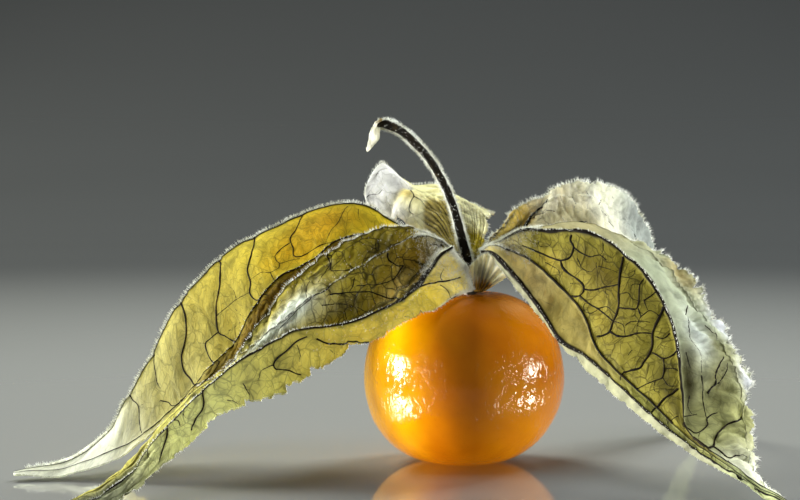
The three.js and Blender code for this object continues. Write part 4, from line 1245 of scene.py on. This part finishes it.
def back_colours(u, s, x, y):
    pleat = 0.5 + 0.5 * back_pleats(u, s)
    flap = smooth(0.39, 0.34, s) * smooth(0.74, 0.79, u)
    # A darker stretch left of the stalk; the black lines drawn on it below are painted shade.
    shade = (smooth(0.06, 0.13, s - 0.28 * smooth(0.38, 0.65, u)) * smooth(0.62, 0.54, s)
             * smooth(0.70, 0.56, u))
    lined = np.maximum(shade, smooth(0.50, 0.58, s))
    drawn = (1 - pleat) ** (1.5 + 2.2 * smooth(0.55, 0.62, s) * smooth(0.15, 0.3, u))
    ink = 0.25 + 0.15 * flap
    return tinted(u, "#fdfac4", [
        # Painted shade: an ochre patch in the fold next to the flap.
        ("#dccb74", patch(u, s, 0.70, 0.25, 0.08, 0.05)),
        ("#efecc0", smooth(0.60, 0.75, s) * smooth(0.3, 0.6, u)),
        ("#b8a444", 0.9 * shade),
        # Painted glints: dark gold between the black pleat lines near the foot.
        ("#a8981c", smooth(0.38, 0.24, u) * smooth(0.5, 0.6, s)),
        # Painted shade: near-black in the grooves of the pleats.
        ("#040301", smooth(0.74, 0.34, u) * drawn * lined),
        ("#fdfefa", flap),
        # Painted highlight: a white patch where the lower fold catches the light.
        ("#fefef8", patch(u, s, 0.72, 0.07, 0.20, 0.10))], ink)


def back_crumple(u, s, x, y):
    left = smooth(0.5, 0.38, s)
    return (0.09 * back_pleats(u, s) * smooth(0.95, 0.5, u)
            * (0.3 + 0.7 * smooth(0.25, 0.40, s))
            + 0.12 * ripple(x, y, 51, 2.6) + 0.06 * ripple(x, y, 52, 1.0)
            - 0.34 * left * np.exp(-((u - 0.765) / 0.045) ** 2)
            + 0.16 * left * np.exp(-((u - 0.66) / 0.06) ** 2))


back_lines = [
    [(-0.7, 1.3, 17.3), (-1.6, 2.2, 18.1), (-2.8, 3.2, 18.6), (-4.6, 4.3, 19.3), (-6.4, 5.2, 20.2),
     (-8.2, 6.2, 21.6)],
    [(-0.6, 1.35, 17.3), (-1.2, 2.3, 18.4), (-2.4, 3.9, 19.8), (-4.7, 5.6, 21.3),
     (-6.7, 6.9, 22.3), (-8.5, 7.5, 23.1)],
    [(-0.4, 1.4, 17.3), (-0.7, 2.5, 18.6), (-1.9, 4.8, 20.8), (-4.1, 6.9, 22.6), (-5.7, 8.2, 23.9),
     (-7.0, 9.1, 25.4)],
    [(-0.1, 1.5, 17.3), (-0.3, 2.6, 18.7), (-1.2, 5.2, 21.0), (-3.0, 7.8, 22.8),
     (-4.75, 9.6, 23.5)],
    [(0.2, 1.5, 17.3), (0.2, 2.7, 18.8), (-0.3, 5.4, 21.3), (-1.3, 8.2, 22.9), (-2.1, 10.4, 23.4)],
    [(0.5, 1.5, 17.3), (0.7, 2.7, 18.7), (0.6, 5.4, 21.0), (0.1, 8.2, 22.3), (-0.4, 10.7, 22.2)],
    [(0.85, 1.4, 17.4), (1.3, 2.5, 18.7), (1.5, 4.6, 20.3), (1.4, 7.0, 21.4), (1.3, 9.4, 21.6)],
    [(1.2, 1.2, 17.4), (2.0, 2.1, 18.6), (2.5, 3.4, 19.7), (2.8, 4.9, 20.7), (2.9, 6.6, 20.9)],
]
back_veins = paths([
    (0.45, (987, 80), (943, 103), (862, 208)),
    (0.35, (966, 218), (956, 257)),
    (0.55, (700, 300), (640, 250), (600, 160), (550, 120)),
    (0.45, (640, 250), (580, 270), (500, 240)),
])
back_lobe, top, normal, columns = husk_sheet(
    "husk_sheet_back", back_lines, cells=[16] * 7, rows=150, ribs=[(0.04, 0.06, 0.0)] * 8,
    tear=(0.06, 0.06), colours=back_colours, crumple=back_crumple, seed=5, drop=0.0,
    veins=back_veins)
lay_veins("veins_back", top, normal, back_veins)
dress(back_lobe, "torn_husk", cells_per_mm=0.30, see_through=0.32, vein_height=0.07)
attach(back_lobe, "root")
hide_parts("husk_lobe_back")
draw = random.Random(15)
seeds = lines_down(top, normal, draw, (0, 8, 0.3, 0.1, 0.99, -1),
                   (columns[7], 10, 0.35, 0.05, 0.99, 1))
for part, count in ((slice(columns[3]), 3), (slice(columns[3], None), 7)):
    seeds += end_down(top[-1, part], top[-6, part], (0, -0.2, 0.9), draw, count, 0.34, 0.4)
grow_down("down_back", seeds)
seeds = face_down(top, normal, draw, 1500, 0.26, 0.0, 0.95)
grow_down("fuzz_back", seeds, 0.012)


# Foot of the husk: a pleated cup round the foot of the stalk, where the five lobes are still
# joined. Brown and orange, with near-black painted shade down in its folds; pale and downy along
# its pleats.
cup_rim = [(3.9, 0.1, 18.75), (3.6, 1.2, 19.1), (2.9, 1.8, 18.6), (2.0, 2.1, 17.9),
           (1.1, 2.2, 17.7), (-0.1, 2.2, 17.7), (-1.2, 2.0, 17.8), (-2.3, 1.8, 18.1),
           (-2.9, 0.9, 18.3), (-2.8, -0.4, 18.9), (-2.2, -1.4, 18.6), (-1.6, -2.2, 18.3),
           (-0.9, -2.6, 18.1), (0.1, -2.4, 17.1), (0.6, -2.1, 16.5), (1.3, -2.2, 17.2),
           (1.9, -2.3, 18.0), (2.6, -1.8, 18.3), (3.4, -0.8, 18.6)]
CUP_SIDES, CUP_RINGS, CUP_WALL, PLEATS, CUP_HAIRS = 400, 46, 0.12, 21, 1300
closed_rim = along(cup_rim[-2:] + cup_rim + cup_rim[:3], np.linspace(0, 1, 2000))
rim_angles = np.unwrap(np.arctan2(closed_rim[:, 1], closed_rim[:, 0] - 0.5))
around = np.linspace(0, 2 * math.pi, CUP_SIDES, endpoint=False)
rim = np.stack([np.interp(around, rim_angles, closed_rim[:, k]) for k in range(3)], -1)
foot, waist = (np.stack([centre + r * np.cos(around), r * np.sin(around),
                         np.full(CUP_SIDES, height)], -1)
               for centre, r, height in ((1.0, 1.2, 15.1), (0.85, 1.5, 16.3)))
pleat = 0.5 + 0.5 * np.cos(PLEATS * around + 1.1 * np.sin(3 * around)
                           + 0.6 * np.sin(5 * around + 1))
right_side = smooth(-0.4, 0.6, np.cos(around - 0.9))[:, None]
# Painted shade: near-black in the grooves between the pleats.
fold = (1 - pleat[:, None]) ** 0.9
cup_points, cup_tints = [], []
for inward in (0.0, CUP_WALL):
    for i in range(CUP_RINGS):
        t = i / (CUP_RINGS - 1)
        ring = ((1 - t) ** 2 * foot + 2 * t * (1 - t) * (2 * waist - 0.5 * foot - 0.5 * rim)
                + t * t * rim)
        out = unit((ring - np.array([0.95 - 0.5 * t, 0, 0])) * (1, 1, 0))
        outward = unit(out * (1 - 0.75 * t) - np.array([0, 0, 1.0]) * 0.75 * t)
        depth = 0.10 + 0.24 * t
        cup_points += list(ring + outward * ((pleat - 0.6) * depth - inward)[:, None])
        edge = (right_side * (paint("#c99a4a") * (1 - t) + paint("#c8c58a") * t)
                + (1 - right_side) * (paint("#b98f3a") * (1 - t) + paint("#a89a4c") * t))
        tone = paint("#120c03") * fold + edge * (1 - fold)
        cup_tints += [(*c, 1) for c in tone]
half, brim = CUP_RINGS * CUP_SIDES, (CUP_RINGS - 1) * CUP_SIDES
cup_faces = ring_faces(0, CUP_RINGS, CUP_SIDES)
cup_faces += [face[::-1] for face in ring_faces(half, CUP_RINGS, CUP_SIDES)]
for j in range(CUP_SIDES):
    k = (j + 1) % CUP_SIDES
    cup_faces += [(brim + j, brim + k, half + brim + k, half + brim + j),
                  (k, j, half + j, half + k)]
cup = mesh_object("husk_cup", np.array(cup_points) * MM, cup_faces)
mark(cup, "tint", "FLOAT_COLOR", cup_tints)
mark(cup, "net", "FLOAT_VECTOR", cup_points)
for key, value in (("ink", 0.0), ("net_ink", 0.25), ("bare", 0.0)):
    mark(cup, key, "FLOAT", np.full(len(cup_points), value))
shade_smooth(cup)
cup.data.materials.append(husk_paper("pleated_husk", 0.3, 0.35))
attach(cup, "root")
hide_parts("husk_base")
draw = random.Random(16)
seeds = []
for _ in range(CUP_HAIRS):
    j = draw.randrange(CUP_SIDES)
    i = int(CUP_RINGS * (0.35 + 0.64 * draw.random() ** 0.5))
    p = cup_points[min(i, CUP_RINGS - 1) * CUP_SIDES + j]
    seeds.append((p, np.array([math.cos(around[j]), math.sin(around[j]), 0.8]),
                  0.32 * draw.uniform(0.4, 1.1)))
grow_down("down_cup", seeds)


# Fan of torn pleats in front of the stalk's foot: orange and brown at the bottom, where it
# grew from the cup, opening to a pale woolly rim.
def fan_pleats(s):
    """Waves across the fan, from -1 to 1."""
    return np.cos(2 * math.pi * 7 * s + 1.0)


def fan_colours(u, s, x, y):
    pleat = 0.5 + 0.5 * fan_pleats(s)
    return tinted(u, "#f4c030", [
        ("#f6e28c", smooth(0.25, 0.5, u)),
        # Painted shade: near-black in the grooves between the pleats.
        ("#1c0d02", (1 - pleat) ** 4.6 * (1 - 0.4 * smooth(0.5, 0.9, u))),
        ("#2a1606", smooth(0.08, 0.0, u)),
        # Painted light: the pale wash is stronger on the crests of the pleats.
        ("#fbfdee", smooth(0.22, 0.50, u) * (0.35 + 0.65 * pleat))], 0.1)


def fan_crumple(u, s, x, y):
    return 0.14 * fan_pleats(s) * smooth(0, 0.3, u) + 0.05 * ripple(x, y, 81, 0.8)


fan_lines = [
    [(0.85, -2.0, 14.75), (0.55, -2.35, 15.7), (0.45, -2.5, 16.9)],
    [(1.0, -2.1, 14.7), (1.0, -2.6, 16.0), (1.1, -2.8, 17.6)],
    [(1.2, -2.2, 14.7), (1.6, -2.8, 16.4), (1.85, -3.0, 18.0)],
    [(1.4, -2.2, 14.7), (2.2, -2.9, 15.9), (3.0, -3.7, 17.1)],
    [(1.6, -2.2, 14.75), (2.8, -3.2, 15.5), (4.0, -4.3, 16.1)],
]
fan, top, normal, _ = husk_sheet(
    "husk_fan", fan_lines, cells=[14] * 4, rows=60, ribs=[(0.03, 0.04, 0.0)] * 5,
    tear=(0.05, 0.05), colours=fan_colours, crumple=fan_crumple, seed=8, drop=0.0)
dress(fan, "orange_pleats", cells_per_mm=0.9, see_through=0.60, vein_height=0.02)
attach(fan, "root")
draw = random.Random(18)
seeds = end_down(top[-1], top[-4], 0.5 * normal[-1], draw, 9, 0.30)
seeds += face_down(top[::-1], normal[::-1], draw, 500, 0.22, 0.0, 0.35)
grow_down("down_fan", seeds, 0.016)

# Down on the stalk: short white hairs that grow from its skin and stand out along its two
# ridges. Each is a thin cone.
draw = random.Random(17)
seeds = []
STEPS, STALK_HAIRS, STRAY = 400, 3400, 12   # every twelfth hair grows off the ridges
fine_path = along(stalk_path, np.linspace(0, 1, STEPS))
for k in range(STALK_HAIRS):
    i = draw.randrange(20, STEPS - 2)
    a = draw.gauss(k % 2 * math.pi, 0.42) if k % STRAY else draw.uniform(0, 2 * math.pi)
    tangent = unit(fine_path[i + 1] - fine_path[i - 1])
    side = unit(np.cross(tangent, [0, 1.0, 0]))
    out = side * math.cos(a) + np.cross(tangent, side) * math.sin(a)
    seeds.append((fine_path[i] + out * (stalk_radius(i / (STEPS - 1), a) - 0.03), out,
                  0.36 * draw.uniform(0.35, 1.1)))
grow_down("down_stalk", seeds, 0.024)


# Strip of dry skin that hangs from the cut end of the stalk: thin, pale and curled. It is torn
# from the stalk's own skin, and still joined to it at the top.
def flake_colours(u, s, x, y):
    return tinted(u, "#f2f0e2", [("#9b8a5a", smooth(0.25, 0.0, u))], 0.15)


def flake_crumple(u, s, x, y):
    return 0.10 * ripple(x, y, 71, 1.0) + 0.04 * ripple(x, y, 72, 0.4)


flake_lines = [
    [(-6.95, -0.55, 29.15), (-7.75, -0.5, 28.7), (-8.0, -0.3, 27.8), (-8.22, -0.12, 26.7)],
    [(-6.95, 0.0, 29.3), (-7.5, 0.0, 28.6), (-7.6, 0.15, 27.7), (-8.18, 0.0, 26.5)],
    [(-6.9, 0.55, 29.1), (-7.15, 0.5, 28.4), (-7.1, 0.3, 27.6), (-8.05, 0.12, 26.7)],
]
flake, *_ = husk_sheet(
    "stalk_end_flake", flake_lines, cells=[14, 14], rows=60, ribs=[(0.03, 0.05, 0.2)] * 3,
    tear=(0.10, 0.10), colours=flake_colours, crumple=flake_crumple, seed=6, drop=0.0)
dress(flake, "pale_flake", cells_per_mm=0.9, see_through=0.50, vein_height=0.03)
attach(flake, "root")
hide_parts("stem_end_flake")
